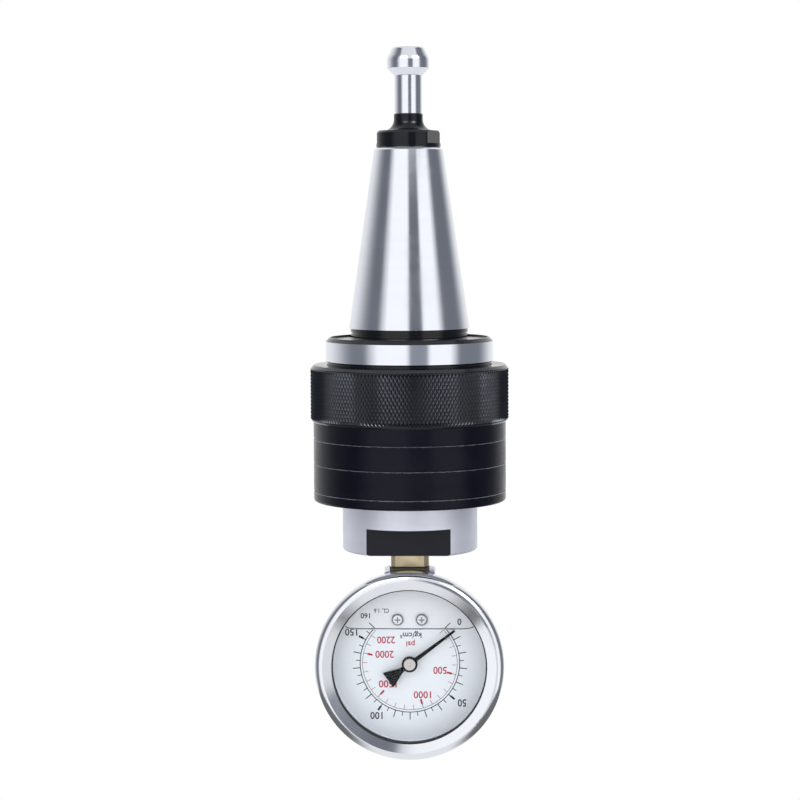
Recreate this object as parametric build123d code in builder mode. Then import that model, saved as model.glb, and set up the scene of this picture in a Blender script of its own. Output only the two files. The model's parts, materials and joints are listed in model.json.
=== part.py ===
from build123d import *
import os
from math import acos, atan2, ceil, cos, degrees, pi, radians, sin, sqrt, tan

# Spindle tension meter with a steep 40 taper, in millimetres.
# The spindle axis is Z, and its origin is the taper's gauge line.
# The stud points up (+Z) and the dial faces the front (-Y).

os.makedirs("parts", exist_ok=True)

# Clearances
running_gap = 0.05  # radial, between turned pieces that slide or turn
free_gap = 0.3  # radial, between pieces that never touch
face_gap = 0.05  # between faces that bear on each other
thread_gap = 0.05  # radial, between screwed pieces
stop_gap = 0.1  # left between a face and the stop that it rests on
end_gap = 0.6  # left at the end of a travel

# Travels
ring_lift = 1.0  # of the ring and body on the skirt's thread
piston_stroke = 0.8

# Taper shank
gauge_line_d = 44.45
taper_slope = 7 / 24  # diameter over length
taper_length = 65.4  # gauge line to small end
taper_runout = 1.6  # gauge line to the foot of the taper
taper_edge = 0.9
neck_d = 43.8
neck_height = 3.4
neck_foot = 0.8
neck_groove_width = 0.6
neck_groove_depth = 0.5
flange_step = 0.65  # flange beyond the collar, radial
flange_thickness = 9.1
flange_edge = 1.4
flange_rim = 0.5  # flat rim between the chamfer and the recess
flange_recess_depth = 0.6
flange_lower_edge = 0.4
collar_step = 0.6  # collar beyond the skirt, radial
collar_height = 3.4
skirt_wall = 5.0
skirt_edge = 0.8

# Knurled setting ring
ring_d = 74.2
ring_wall = 7.1  # knurl to the skirt's thread
ring_height = 21.3
ring_top_edge = 1.0
ring_lower_edge = 0.7
ring_mouth_depth = 5.0
ring_web = 2.8  # web that carries the ring on the body
ring_margin = 0.25  # smooth stretch at each end of the knurl
knurl_depth = 0.35

# Ring retainer, an external circlip
retainer_thickness = 1.5
retainer_reach = 3.0  # out of the spigot
retainer_groove_depth = 1.4
retainer_mouth = 9.0
retainer_eye_d = 2.0

# Cylinder body
body_d = 72.0
body_height = 29.6
body_edge = 0.5
body_lower_edge = 0.9
body_groove_width = 0.6
body_groove_depth = 0.45
body_groove_lip = 0.25  # break of a groove's lower edge
body_groove_drops = (6.0, 15.2, 25.6)  # under the ring's lower face
spigot_height = 14.7
head_thickness = 7.0
bore_step = 2.25  # cylinder bore beyond the base, radial
gland_step = 1.5  # gland's thread beyond the bore, radial

# Guide pin and its keyway in the skirt
pin_d = 4.0
pin_reach = 1.8  # out of the spigot
pin_floor = 2.95  # left between the pin and the rod bush
pin_drop = 3.2  # under the spigot's top
keyway_gap = 0.2

# Piston, which is also the base
base_d = 50.5
base_reach = 18.55  # base below the body
base_edge = 0.9
base_flats = 40.0
base_flat_height = 9.9
oil_gap = 1.5
gland_height = 7.8
gland_recess = 0.5
piston_recess_d = 38.0
piston_recess_depth = 4.0
seal_depth = 3.9
seal_width = 3.4
seal_drop = 2.4  # under the piston's top
backup_width = 1.2
spanner_holes = 4
spanner_hole_angle = 45.0
spanner_hole_wall = 0.5  # left on each side of a hole
spanner_hole_floor = 0.6  # left between a hole and the wiper's groove
wiper_width = 3.0
wiper_depth = 2.4
wiper_rise = 2.6  # over the gland nut's lower face

# Pull rod
rod_d = 30.0
rod_neck_d = 20.5
rod_collar_reach = 2.0  # thick stretch above the spigot
rod_thread_d = 24.0
rod_thread_length = 16.0
rod_oil_d = 4.0
rod_cross_d = 2.4
rod_edge = 0.6
bush_wall = 2.0
bush_length = 10.0
bush_inset = 1.0
rod_seal_depth = 4.0
rod_seal_width = 4.8
rod_seal_rise = 1.9  # over the chamber's top

# Pull stud
stud_thread_d = 16.0
stud_thread_length = 20.0
stud_pilot_d = 17.0
stud_pilot_length = 5.0
stud_flange_d = 24.0
stud_flange_height = 6.1
stud_flange_edge = 0.8
stud_rim = 1.3  # round stretch under the flats
stud_flats = 20.0
stud_flat_turn = 18.8  # a flat's normal, from +X towards the front
stud_flare = 4.2
stud_root_d = 10.8
stud_root_height = 6.3
stud_root_edge = 0.4
stud_neck_d = 10.2
stud_head_d = 15.6
stud_head_band = 3.6
stud_top_d = 11.4
stud_height = 36.9  # foot to top
stud_crown = 4.2  # height of the upper cone
stud_top_edge = 1.2
stud_shoulder = 4.0  # rounding between the upper cone and the band

# Bleed screw
bleed_place = 17.0
bleed_thread_d = 6.0
bleed_thread_length = 8.0
bleed_head_d = 9.6
bleed_head_height = 2.6
bleed_socket = 4.0
bleed_socket_depth = 1.8
bleed_duct_d = 3.0
bleed_washer_thickness = 1.0

# Gauge stem
stem_shoulder_gap = 0.55  # base to the shoulder of the square
stem_reach = 41.2  # shoulder to the gauge's centre
stem_thread_d = 13.1
stem_thread_length = 13.0
stem_relief_length = 1.6
stem_relief_depth = 0.9
stem_square = 14.0
stem_corner = 1.6
stem_bore_d = 3.5
stem_foot_rise = 12.5  # foot of the block over the gauge's centre
stem_block_rise = 24.0  # top of the block's front over the gauge's centre
port_washer_thickness = 1.5
port_washer_d = 11.4
port_bore_d = 5.0

# Gauge case, window and bezel, as depths from the spindle axis
case_d = 62.0
case_wall = 0.9
case_back = 13.0
case_corner = 3.0
case_flange_d = 66.6
case_flange_thickness = 1.0
bezel_d = 70.3
bezel_front = 19.6
bezel_lip_d = 57.8
bezel_lip_thickness = 2.0
bezel_curl_d = 64.4
bezel_curl_thickness = 1.0
bezel_curl_edge = 1.4
window_thickness = 2.0
window_drop = 2.9  # window behind the bezel's front
gasket_thickness = 1.5
gasket_width = 3.0
saddle_width = 18.6
saddle_rise = 33.4  # top of the side walls over the gauge's centre
saddle_front_rise = 35.4  # middle of the front wall
saddle_horn_rise = 36.5  # peaks of the front wall
saddle_horn_place = 7.7  # peak from the middle
saddle_horn_fall = 0.6  # from a peak to the outer edge
saddle_horn_foot = 1.4  # from a peak to the foot of its inner slope, along X
stem_gasket_wall = 0.6
stem_gasket_height = 1.6
vent_head_d = 11.0
vent_head_height = 2.0
vent_plug_d = 8.0
vent_inner_d = 9.4
vent_inner_height = 1.2
vent_back = 3.0  # plug behind the spindle axis
vent_inner_gap = 0.5

# Dial and pointer
dial_d = 59.0
dial_thickness = 0.6
dial_back = 9.0
dial_hole_d = 5.0
dial_screw_span = 9.0
dial_screw_rise = 16.4
dial_screw_d = 2.2
dial_screw_length = 3.0
dial_screw_head_d = 4.4
dial_screw_head_height = 1.3
dial_screw_slot = 0.6
pointer_angle = 36.9  # over the level, at rest
pointer_sweep = 262.0
pointer_back = 11.7
pointer_thickness = 0.5
pointer_length = 21.0
pointer_tip_width = 0.8
pointer_root_width = 1.7
pointer_tail_length = 10.1
pointer_tail_root_width = 2.2
pointer_tail_width = 6.8
pointer_tail_neck = 4.3  # where the tail starts to flare
pointer_ring_d = 5.9
pointer_ring_height = 1.2
pointer_hub_d = 4.3
pointer_hub_back = 10.5
pointer_hub_front = 13.1

# Gauge movement, depths from the spindle axis
front_plate_depth = 6.3
back_plate_depth = 1.4
plate_thickness = 0.8
plate_width = 11.0
plate_margin = 1.6  # beyond a pillar's axis
plate_screw_rise = 9.3
plate_screw_span = 6.0
plate_screw_d = 1.6
plate_screw_head_d = 2.8
plate_screw_head_height = 0.9
plate_screw_length = 2.6
tongue_width = 12.0
tongue_length = 6.0
tongue_thickness = 3.6
pillar_d = 1.8
pillar_span = 7.8
pillar_rise = 4.4
pillar_drop = 3.4  # lower pillar under the sector's pivot
pinion_teeth = 10
wheel_teeth = 80  # teeth of the wheel that the sector is cut from
gear_module = 0.28
pressure_angle = 25.0
backlash = 0.05
wheel_addendum = 0.7  # of the module
pinion_addendum = 1.0
root_clearance = 0.3
sector_thickness = 0.8
sector_front = 4.4
sector_rim = 1.2
sector_spoke = 1.3
sector_hub_d = 4.2
sector_spare_teeth = 2
pinion_overlap = 0.4
arbor_d = 1.4
collet_d = 2.3
pivot_lean = 1.5  # sector pivot to the right of the centre
tail_length = 6.5
tail_width = 1.7
tail_eye_d = 2.6
link_pin_d = 0.9
link_pin_head_d = 1.6
link_thickness = 0.5
link_gap = 0.2
link_width = 1.2
link_eye_d = 2.4
spring_inner_r = 1.3
spring_pitch = 0.7
spring_half_turns = 8
spring_strip = 0.14
spring_width = 0.6
spring_depth = 5.9

# Bourdon tube
tube_r = 19.0
tube_depth = 4.4  # centre of the tube behind the spindle axis
tube_width = 5.0
tube_height = 1.8
tube_wall = 0.35
tube_root_angle = 90.0
tube_end_angle = -180.0
tip_block = 4.0
tip_arm_width = 2.0
tip_arm_thickness = 0.8
tip_pivot = (-9.5, 1.5)

# Heights on the spindle axis
small_end_z = taper_length
taper_foot_z = -taper_runout
flange_top_z = taper_foot_z - neck_height
flange_bottom_z = flange_top_z - flange_thickness
flange_recess_z = flange_top_z - flange_recess_depth
ring_top_z = flange_bottom_z - ring_lift - stop_gap
ring_bottom_z = ring_top_z - ring_height
ring_web_z = ring_bottom_z + ring_web
body_top_z = ring_bottom_z - face_gap
body_bottom_z = body_top_z - body_height
retainer_bottom_z = ring_web_z + face_gap
retainer_top_z = retainer_bottom_z + retainer_thickness
skirt_end_z = retainer_top_z + face_gap + ring_lift + end_gap
spigot_top_z = body_top_z + spigot_height
rod_collar_z = spigot_top_z + rod_collar_reach
cavity_top_z = rod_collar_z + ring_lift + piston_stroke + end_gap
chamber_top_z = body_top_z - head_thickness
piston_top_z = chamber_top_z - oil_gap
gland_bottom_z = body_bottom_z + gland_recess
gland_top_z = gland_bottom_z + gland_height
piston_shoulder_z = gland_top_z + stop_gap
base_bottom_z = body_bottom_z - base_reach
rod_seat_z = piston_top_z - piston_recess_depth
rod_end_z = rod_seat_z - rod_thread_length
stud_foot_z = small_end_z + stop_gap
stud_top_z = stud_foot_z + stud_height
stem_shoulder_z = base_bottom_z - stem_shoulder_gap
stem_end_z = stem_shoulder_z + stem_thread_length
port_floor_z = stem_end_z + port_washer_thickness
gauge_z = stem_shoulder_z - stem_reach

# Diameters of the skirt and of what it fits, from the ring inwards
skirt_thread_d = ring_d - 2 * ring_wall
collar_d = skirt_thread_d + 2 * collar_step
flange_d = collar_d + 2 * flange_step
flange_recess_r = flange_d / 2 - flange_edge - flange_rim
spigot_d = skirt_thread_d - 2 * skirt_wall
retainer_d = spigot_d + 2 * retainer_reach

# Diameters of the cylinder, from the base that slides in it outwards
cylinder_bore_d = base_d + 2 * bore_step
gland_thread_d = cylinder_bore_d + 2 * gland_step

# Radii that follow from the sizes above
small_end_r = (gauge_line_d - taper_slope * taper_length) / 2
taper_foot_r = (gauge_line_d + taper_slope * taper_runout) / 2
shank_bore_r = rod_neck_d / 2 + free_gap
skirt_bore_r = spigot_d / 2 + running_gap
ring_thread_r = skirt_thread_d / 2 + thread_gap
ring_mouth_r = collar_d / 2 + free_gap
ring_web_r = spigot_d / 2 + running_gap
pinion_r = gear_module * pinion_teeth / 2
wheel_r = gear_module * wheel_teeth / 2
bush_r = rod_d / 2 + running_gap + bush_wall
pin_root = spigot_d / 2 - bush_r - pin_floor  # into the spigot
gasket_face = bezel_front - window_drop - window_thickness
case_flange_front = gasket_face - gasket_thickness

# The gauge's turned pieces are drawn as (depth behind the spindle axis, radius)
gauge_section = Plane(origin=(0, 0, gauge_z), x_dir=(0, 1, 0), z_dir=(1, 0, 0))
gauge_axis = Axis((0, 0, gauge_z), (0, 1, 0))

near = 0.01


def round_edges(part, height, radius):
    """The round edges of a turned part at one height and radius."""
    return [
        edge
        for edge in part.edges().filter_by(GeomType.CIRCLE)
        if abs(edge.arc_center.Z - height) < near and abs(edge.radius - radius) < near
    ]


def gauge_face(depth):
    """A plane of the gauge that faces the front, at a depth before the spindle axis."""
    return Plane(origin=(0, -depth, gauge_z), x_dir=(1, 0, 0), z_dir=(0, -1, 0))


def tooth_outline(teeth, addendum, dedendum):
    """One involute tooth on the X axis, from inside its root circle to its tip."""
    pitch_r = gear_module * teeth / 2
    base_r = pitch_r * cos(radians(pressure_angle))
    root_r = pitch_r - dedendum * gear_module
    tip_r = pitch_r + addendum * gear_module
    half_pitch_angle = (pi * gear_module / 2 - backlash) / 2 / pitch_r
    rolled = tan(radians(pressure_angle)) - radians(pressure_angle)

    def flank(radius):
        turn = acos(base_r / radius)
        angle = half_pitch_angle + rolled - (tan(turn) - turn)
        return radius * cos(angle), radius * sin(angle)

    start_r = max(base_r, root_r)
    radii = [start_r, (start_r + pitch_r) / 2, pitch_r, (pitch_r + tip_r) / 2, tip_r]
    upper = [flank(radius) for radius in radii]
    foot_angle = half_pitch_angle + rolled
    inner_r = root_r - root_clearance * gear_module
    foot = (inner_r * cos(foot_angle), inner_r * sin(foot_angle))
    right_side = [foot] + upper
    left_side = [(x, -y) for x, y in reversed(right_side)]
    return right_side + left_side


def tube_plane(angle):
    """The plane through the gauge's axis at an angle from +X, as (depth, radius)."""
    turn = radians(angle)
    return Plane(origin=(0, 0, gauge_z), x_dir=(0, 1, 0), z_dir=(sin(turn), 0, -cos(turn)))


def gauge_edges(part, back, radius):
    """The round edges of a gauge piece at one depth behind the axis and one radius."""
    return [
        edge
        for edge in part.edges().filter_by(GeomType.CIRCLE)
        if abs(edge.arc_center.Y - back) < near and abs(edge.radius - radius) < near
    ]


# Taper shank: ground taper, neck, flange and the skirt that the ring is screwed on
with BuildPart() as taper_shank:
    with BuildSketch(Plane.XZ):
        with BuildLine():
            Polyline(
                (shank_bore_r, small_end_z),
                (small_end_r, small_end_z),
                (taper_foot_r, taper_foot_z),
                (neck_d / 2, taper_foot_z),
                (neck_d / 2, flange_recess_z),
                (flange_recess_r, flange_recess_z),
                (flange_recess_r, flange_top_z),
                (flange_d / 2, flange_top_z),
                (flange_d / 2, flange_bottom_z),
                (collar_d / 2, flange_bottom_z),
                (collar_d / 2, flange_bottom_z - collar_height),
                (skirt_thread_d / 2, flange_bottom_z - collar_height),
                (skirt_thread_d / 2, skirt_end_z),
                (skirt_bore_r, skirt_end_z),
                (skirt_bore_r, cavity_top_z),
                (shank_bore_r, cavity_top_z),
                close=True,
            )
        make_face()
    revolve(axis=Axis.Z)
    with BuildSketch(Plane.XZ):
        with Locations((neck_d / 2, taper_foot_z - neck_height / 2)):
            Rectangle(2 * neck_groove_depth, neck_groove_width)
    revolve(axis=Axis.Z, mode=Mode.SUBTRACT)
    chamfer(round_edges(taper_shank.part, small_end_z, small_end_r), length=taper_edge)
    fillet(round_edges(taper_shank.part, flange_recess_z, neck_d / 2), radius=neck_foot)
    chamfer(round_edges(taper_shank.part, flange_top_z, flange_d / 2), length=flange_edge)
    chamfer(round_edges(taper_shank.part, flange_bottom_z, flange_d / 2), length=flange_lower_edge)
    chamfer(round_edges(taper_shank.part, skirt_end_z, skirt_thread_d / 2), length=skirt_edge)
    with BuildSketch(Plane.XY.offset(skirt_end_z)):
        with Locations((0, (skirt_bore_r + pin_reach) / 2)):
            Rectangle(pin_d + 2 * keyway_gap, skirt_bore_r + pin_reach)
        Circle(shank_bore_r, mode=Mode.SUBTRACT)
    extrude(amount=cavity_top_z - skirt_end_z, mode=Mode.SUBTRACT)
taper_shank.part.label = "taper_shank"
export_step(taper_shank.part, "parts/taper_shank.step")

# Pull stud: head, neck, flared foot with two flats, pilot and thread
stud_flange_top_z = stud_foot_z + stud_flange_height
stud_root_top_z = stud_flange_top_z + stud_root_height
stud_band_top_z = stud_top_z - stud_crown
stud_band_low_z = stud_band_top_z - stud_head_band
stud_cone_low_z = stud_band_low_z - (stud_head_d - stud_neck_d) / 2
with BuildPart() as pull_stud:
    with BuildSketch(Plane.XZ):
        with BuildLine():
            Polyline(
                (0, stud_foot_z - stud_pilot_length - stud_thread_length),
                (stud_thread_d / 2, stud_foot_z - stud_pilot_length - stud_thread_length),
                (stud_thread_d / 2, stud_foot_z - stud_pilot_length),
                (stud_pilot_d / 2, stud_foot_z - stud_pilot_length),
                (stud_pilot_d / 2, stud_foot_z),
                (stud_flange_d / 2, stud_foot_z),
                (stud_flange_d / 2, stud_flange_top_z - stud_flange_edge),
                (stud_flange_d / 2 - stud_flange_edge, stud_flange_top_z),
                (stud_root_d / 2 + stud_flare, stud_flange_top_z),
            )
            RadiusArc(
                (stud_root_d / 2 + stud_flare, stud_flange_top_z),
                (stud_root_d / 2, stud_flange_top_z + stud_flare),
                stud_flare,
            )
            Polyline(
                (stud_root_d / 2, stud_flange_top_z + stud_flare),
                (stud_root_d / 2, stud_root_top_z - stud_root_edge),
                (stud_neck_d / 2, stud_root_top_z),
                (stud_neck_d / 2, stud_cone_low_z),
                (stud_head_d / 2, stud_band_low_z),
                (stud_head_d / 2, stud_band_top_z),
                (stud_top_d / 2, stud_top_z),
                (0, stud_top_z),
                (0, stud_foot_z - stud_pilot_length - stud_thread_length),
            )
        make_face()
    revolve(axis=Axis.Z)
    fillet(round_edges(pull_stud.part, stud_top_z, stud_top_d / 2), radius=stud_top_edge)
    fillet(round_edges(pull_stud.part, stud_band_top_z, stud_head_d / 2), radius=stud_shoulder)
    with BuildSketch(Plane.XY.offset(stud_foot_z + stud_rim)):
        with Locations(Location((0, 0, 0), (0, 0, -stud_flat_turn))):
            Rectangle(2 * stud_flange_d, 2 * stud_flange_d)
            Rectangle(stud_flats, 2 * stud_flange_d, mode=Mode.SUBTRACT)
    extrude(amount=stud_flange_height - stud_rim, mode=Mode.SUBTRACT)
pull_stud.part.label = "pull_stud"
export_step(pull_stud.part, "parts/pull_stud.step")

# Pull rod: carries the stud's pull down to the piston, drilled for the oil
with BuildPart() as pull_rod:
    with BuildSketch(Plane.XZ):
        with BuildLine():
            Polyline(
                (0, rod_end_z),
                (rod_thread_d / 2, rod_end_z),
                (rod_thread_d / 2, rod_seat_z),
                (rod_d / 2, rod_seat_z),
                (rod_d / 2, rod_collar_z - rod_edge),
                (rod_d / 2 - rod_edge, rod_collar_z),
                (rod_neck_d / 2, rod_collar_z),
                (rod_neck_d / 2, stud_foot_z),
                (0, stud_foot_z),
                close=True,
            )
        make_face()
    revolve(axis=Axis.Z)
    with Locations((0, 0, stud_foot_z)):
        CounterBoreHole(
            stud_thread_d / 2 + thread_gap,
            stud_pilot_d / 2 + thread_gap,
            stud_pilot_length + face_gap,
            depth=stud_pilot_length + stud_thread_length + stop_gap,
        )
    with BuildSketch(Plane.XY.offset(rod_end_z)):
        Circle(rod_oil_d / 2)
    extrude(amount=rod_thread_length + piston_recess_depth / 2, mode=Mode.SUBTRACT)
    with BuildSketch(Plane.YZ):
        with Locations((0, rod_seat_z + piston_recess_depth / 2)):
            Circle(rod_cross_d / 2)
    extrude(amount=rod_d, both=True, mode=Mode.SUBTRACT)
pull_rod.part.label = "pull_rod"
export_step(pull_rod.part, "parts/pull_rod.step")

# Knurled ring: screwed on the skirt, carried on the body by its inner web
with BuildPart() as knurled_ring:
    with BuildSketch(Plane.XZ):
        with BuildLine():
            Polyline(
                (ring_mouth_r, ring_top_z),
                (ring_d / 2 - knurl_depth, ring_top_z),
                (ring_d / 2 - knurl_depth, ring_bottom_z),
                (ring_web_r, ring_bottom_z),
                (ring_web_r, ring_web_z),
                (ring_thread_r, ring_web_z),
                (ring_thread_r, ring_top_z - ring_mouth_depth),
                (ring_mouth_r, ring_top_z - ring_mouth_depth),
                close=True,
            )
        make_face()
    revolve(axis=Axis.Z)
    knurl_top_z = ring_top_z - ring_top_edge - ring_margin
    knurl_bottom_z = ring_bottom_z + ring_lower_edge + ring_margin
    with BuildSketch(Plane.XZ):
        with BuildLine():
            Polyline(
                (ring_d / 2 - 2 * knurl_depth, knurl_top_z),
                (ring_d / 2 - knurl_depth, knurl_top_z),
                (ring_d / 2, knurl_top_z - knurl_depth),
                (ring_d / 2, knurl_bottom_z + knurl_depth),
                (ring_d / 2 - knurl_depth, knurl_bottom_z),
                (ring_d / 2 - 2 * knurl_depth, knurl_bottom_z),
                close=True,
            )
        make_face()
    revolve(axis=Axis.Z)
    chamfer(round_edges(knurled_ring.part, ring_top_z, ring_d / 2 - knurl_depth), length=ring_top_edge)
    chamfer(
        round_edges(knurled_ring.part, ring_bottom_z, ring_d / 2 - knurl_depth), length=ring_lower_edge
    )
knurled_ring.part.label = "knurled_ring"
export_step(knurled_ring.part, "parts/knurled_ring.step")

# Ring retainer: an open circlip in the spigot's groove, over the ring's web
retainer_inner_r = spigot_d / 2 - retainer_groove_depth + running_gap
retainer_mid_r = (retainer_inner_r + retainer_d / 2) / 2
with BuildPart() as ring_retainer:
    with BuildSketch(Plane.XY.offset(retainer_bottom_z)):
        Circle(retainer_d / 2)
        Circle(retainer_inner_r, mode=Mode.SUBTRACT)
        with Locations((0, -retainer_mid_r)):
            Rectangle(retainer_mouth, retainer_d / 2, mode=Mode.SUBTRACT)
        eye_x = retainer_mouth / 2 + retainer_eye_d
        eye_y = -sqrt(retainer_mid_r**2 - eye_x**2)
        with Locations((-eye_x, eye_y), (eye_x, eye_y)):
            Circle(retainer_eye_d / 2, mode=Mode.SUBTRACT)
    extrude(amount=retainer_thickness)
ring_retainer.part.label = "ring_retainer"
export_step(ring_retainer.part, "parts/ring_retainer.step")

# Cylinder body: outer body with turned grooves, head, spigot and bores
pin_z = spigot_top_z - pin_drop
rod_seal_bottom_z = chamber_top_z + rod_seal_rise
rod_bore_r = rod_d / 2 + free_gap
with BuildPart() as cylinder_body:
    with BuildSketch(Plane.XZ):
        with BuildLine():
            Polyline(
                (rod_bore_r, spigot_top_z),
                (spigot_d / 2, spigot_top_z),
                (spigot_d / 2, body_top_z),
                (body_d / 2, body_top_z),
                (body_d / 2, body_bottom_z),
                (gland_thread_d / 2, body_bottom_z),
                (gland_thread_d / 2, gland_top_z),
                (cylinder_bore_d / 2, gland_top_z),
                (cylinder_bore_d / 2, chamber_top_z),
                (rod_bore_r, chamber_top_z),
                close=True,
            )
        make_face()
    revolve(axis=Axis.Z)
    fillet(round_edges(cylinder_body.part, body_bottom_z, body_d / 2), radius=body_lower_edge)
    chamfer(round_edges(cylinder_body.part, spigot_top_z, spigot_d / 2), length=body_edge)
    with BuildSketch(Plane.XZ):
        for drop in body_groove_drops:
            groove_top_z = ring_bottom_z - drop + body_groove_width / 2
            groove_low_z = groove_top_z - body_groove_width
            with BuildLine():
                Polyline(
                    (body_d / 2 - body_groove_depth, groove_top_z),
                    (body_d / 2 + body_groove_lip, groove_top_z),
                    (body_d / 2 + body_groove_lip, groove_low_z - 2 * body_groove_lip),
                    (body_d / 2 - body_groove_lip, groove_low_z),
                    (body_d / 2 - body_groove_depth, groove_low_z),
                    close=True,
                )
            make_face()
        with Locations((spigot_d / 2, retainer_bottom_z + retainer_thickness / 2)):
            Rectangle(2 * retainer_groove_depth, retainer_thickness + 2 * face_gap)
        with BuildLine():
            Polyline(
                (rod_d / 2, spigot_top_z),
                (bush_r, spigot_top_z),
                (bush_r, spigot_top_z - bush_inset - bush_length),
                (rod_d / 2, spigot_top_z - bush_inset - bush_length),
                close=True,
            )
        make_face()
        with BuildLine():
            Polyline(
                (rod_d / 2, rod_seal_bottom_z),
                (rod_d / 2 + rod_seal_depth, rod_seal_bottom_z),
                (rod_d / 2 + rod_seal_depth, rod_seal_bottom_z + rod_seal_width + 2 * face_gap),
                (rod_d / 2, rod_seal_bottom_z + rod_seal_width + 2 * face_gap),
                close=True,
            )
        make_face()
    revolve(axis=Axis.Z, mode=Mode.SUBTRACT)
    with BuildSketch(Plane.XZ.offset(-spigot_d / 2)):
        with Locations((0, pin_z)):
            Circle(pin_d / 2)
    extrude(amount=pin_root + stop_gap, mode=Mode.SUBTRACT)
cylinder_body.part.label = "cylinder_body"
export_step(cylinder_body.part, "parts/cylinder_body.step")

# Guide pin: pressed in the spigot at the back, runs in the skirt's keyway
with BuildPart() as guide_pin:
    with BuildSketch(Plane.XZ.offset(pin_root - spigot_d / 2)):
        with Locations((0, pin_z)):
            Circle(pin_d / 2 - face_gap)
    extrude(amount=-(pin_root + pin_reach - keyway_gap))
guide_pin.part.label = "guide_pin"
export_step(guide_pin.part, "parts/guide_pin.step")

# Rod bush: bronze, pressed in the spigot
with BuildPart() as rod_bush:
    with BuildSketch(Plane.XY.offset(spigot_top_z - bush_inset - bush_length)):
        Circle(bush_r)
        Circle(rod_d / 2 + running_gap, mode=Mode.SUBTRACT)
    extrude(amount=bush_length)
rod_bush.part.label = "rod_bush"
export_step(rod_bush.part, "parts/rod_bush.step")

# Rod seal: a lip seal that opens towards the oil
rod_seal_inner_r = rod_d / 2 + running_gap
rod_seal_outer_r = rod_d / 2 + rod_seal_depth
rod_seal_low_z = rod_seal_bottom_z + face_gap
with BuildPart() as rod_seal:
    with BuildSketch(Plane.XZ):
        with BuildLine():
            Polyline(
                (rod_seal_inner_r, rod_seal_low_z),
                ((2 * rod_seal_inner_r + rod_seal_outer_r) / 3, rod_seal_low_z),
                ((rod_seal_inner_r + rod_seal_outer_r) / 2, rod_seal_low_z + rod_seal_width / 2),
                ((rod_seal_inner_r + 2 * rod_seal_outer_r) / 3, rod_seal_low_z),
                (rod_seal_outer_r, rod_seal_low_z),
                (rod_seal_outer_r, rod_seal_low_z + rod_seal_width),
                (rod_seal_inner_r, rod_seal_low_z + rod_seal_width),
                close=True,
            )
        make_face()
    revolve(axis=Axis.Z)
rod_seal.part.label = "rod_seal"
export_step(rod_seal.part, "parts/rod_seal.step")

# Gland nut: closes the cylinder at the bottom, guides the base and stops the piston
gland_bore_r = base_d / 2 + running_gap
spanner_ring_r = (gland_bore_r + gland_thread_d / 2) / 2
wiper_low_z = gland_bottom_z + wiper_rise
with BuildPart() as gland_nut:
    with BuildSketch(Plane.XY.offset(gland_bottom_z)):
        Circle(gland_thread_d / 2 - thread_gap)
        Circle(gland_bore_r, mode=Mode.SUBTRACT)
    extrude(amount=gland_height)
    with BuildSketch(Plane.XZ):
        with Locations((base_d / 2, wiper_low_z + wiper_width / 2)):
            Rectangle(2 * wiper_depth, wiper_width + 2 * face_gap)
    revolve(axis=Axis.Z, mode=Mode.SUBTRACT)
    with BuildSketch(Plane.XY.offset(gland_bottom_z)):
        with PolarLocations(spanner_ring_r, spanner_holes, start_angle=spanner_hole_angle):
            Circle(gland_thread_d / 2 - spanner_ring_r - spanner_hole_wall)
    extrude(amount=wiper_rise - spanner_hole_floor, mode=Mode.SUBTRACT)
gland_nut.part.label = "gland_nut"
export_step(gland_nut.part, "parts/gland_nut.step")

# Wiper ring in the gland nut
with BuildPart() as wiper_ring:
    with BuildSketch(Plane.XY.offset(wiper_low_z)):
        Circle(base_d / 2 + wiper_depth)
        Circle(gland_bore_r, mode=Mode.SUBTRACT)
    extrude(amount=wiper_width)
wiper_ring.part.label = "wiper_ring"
export_step(wiper_ring.part, "parts/wiper_ring.step")

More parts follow.
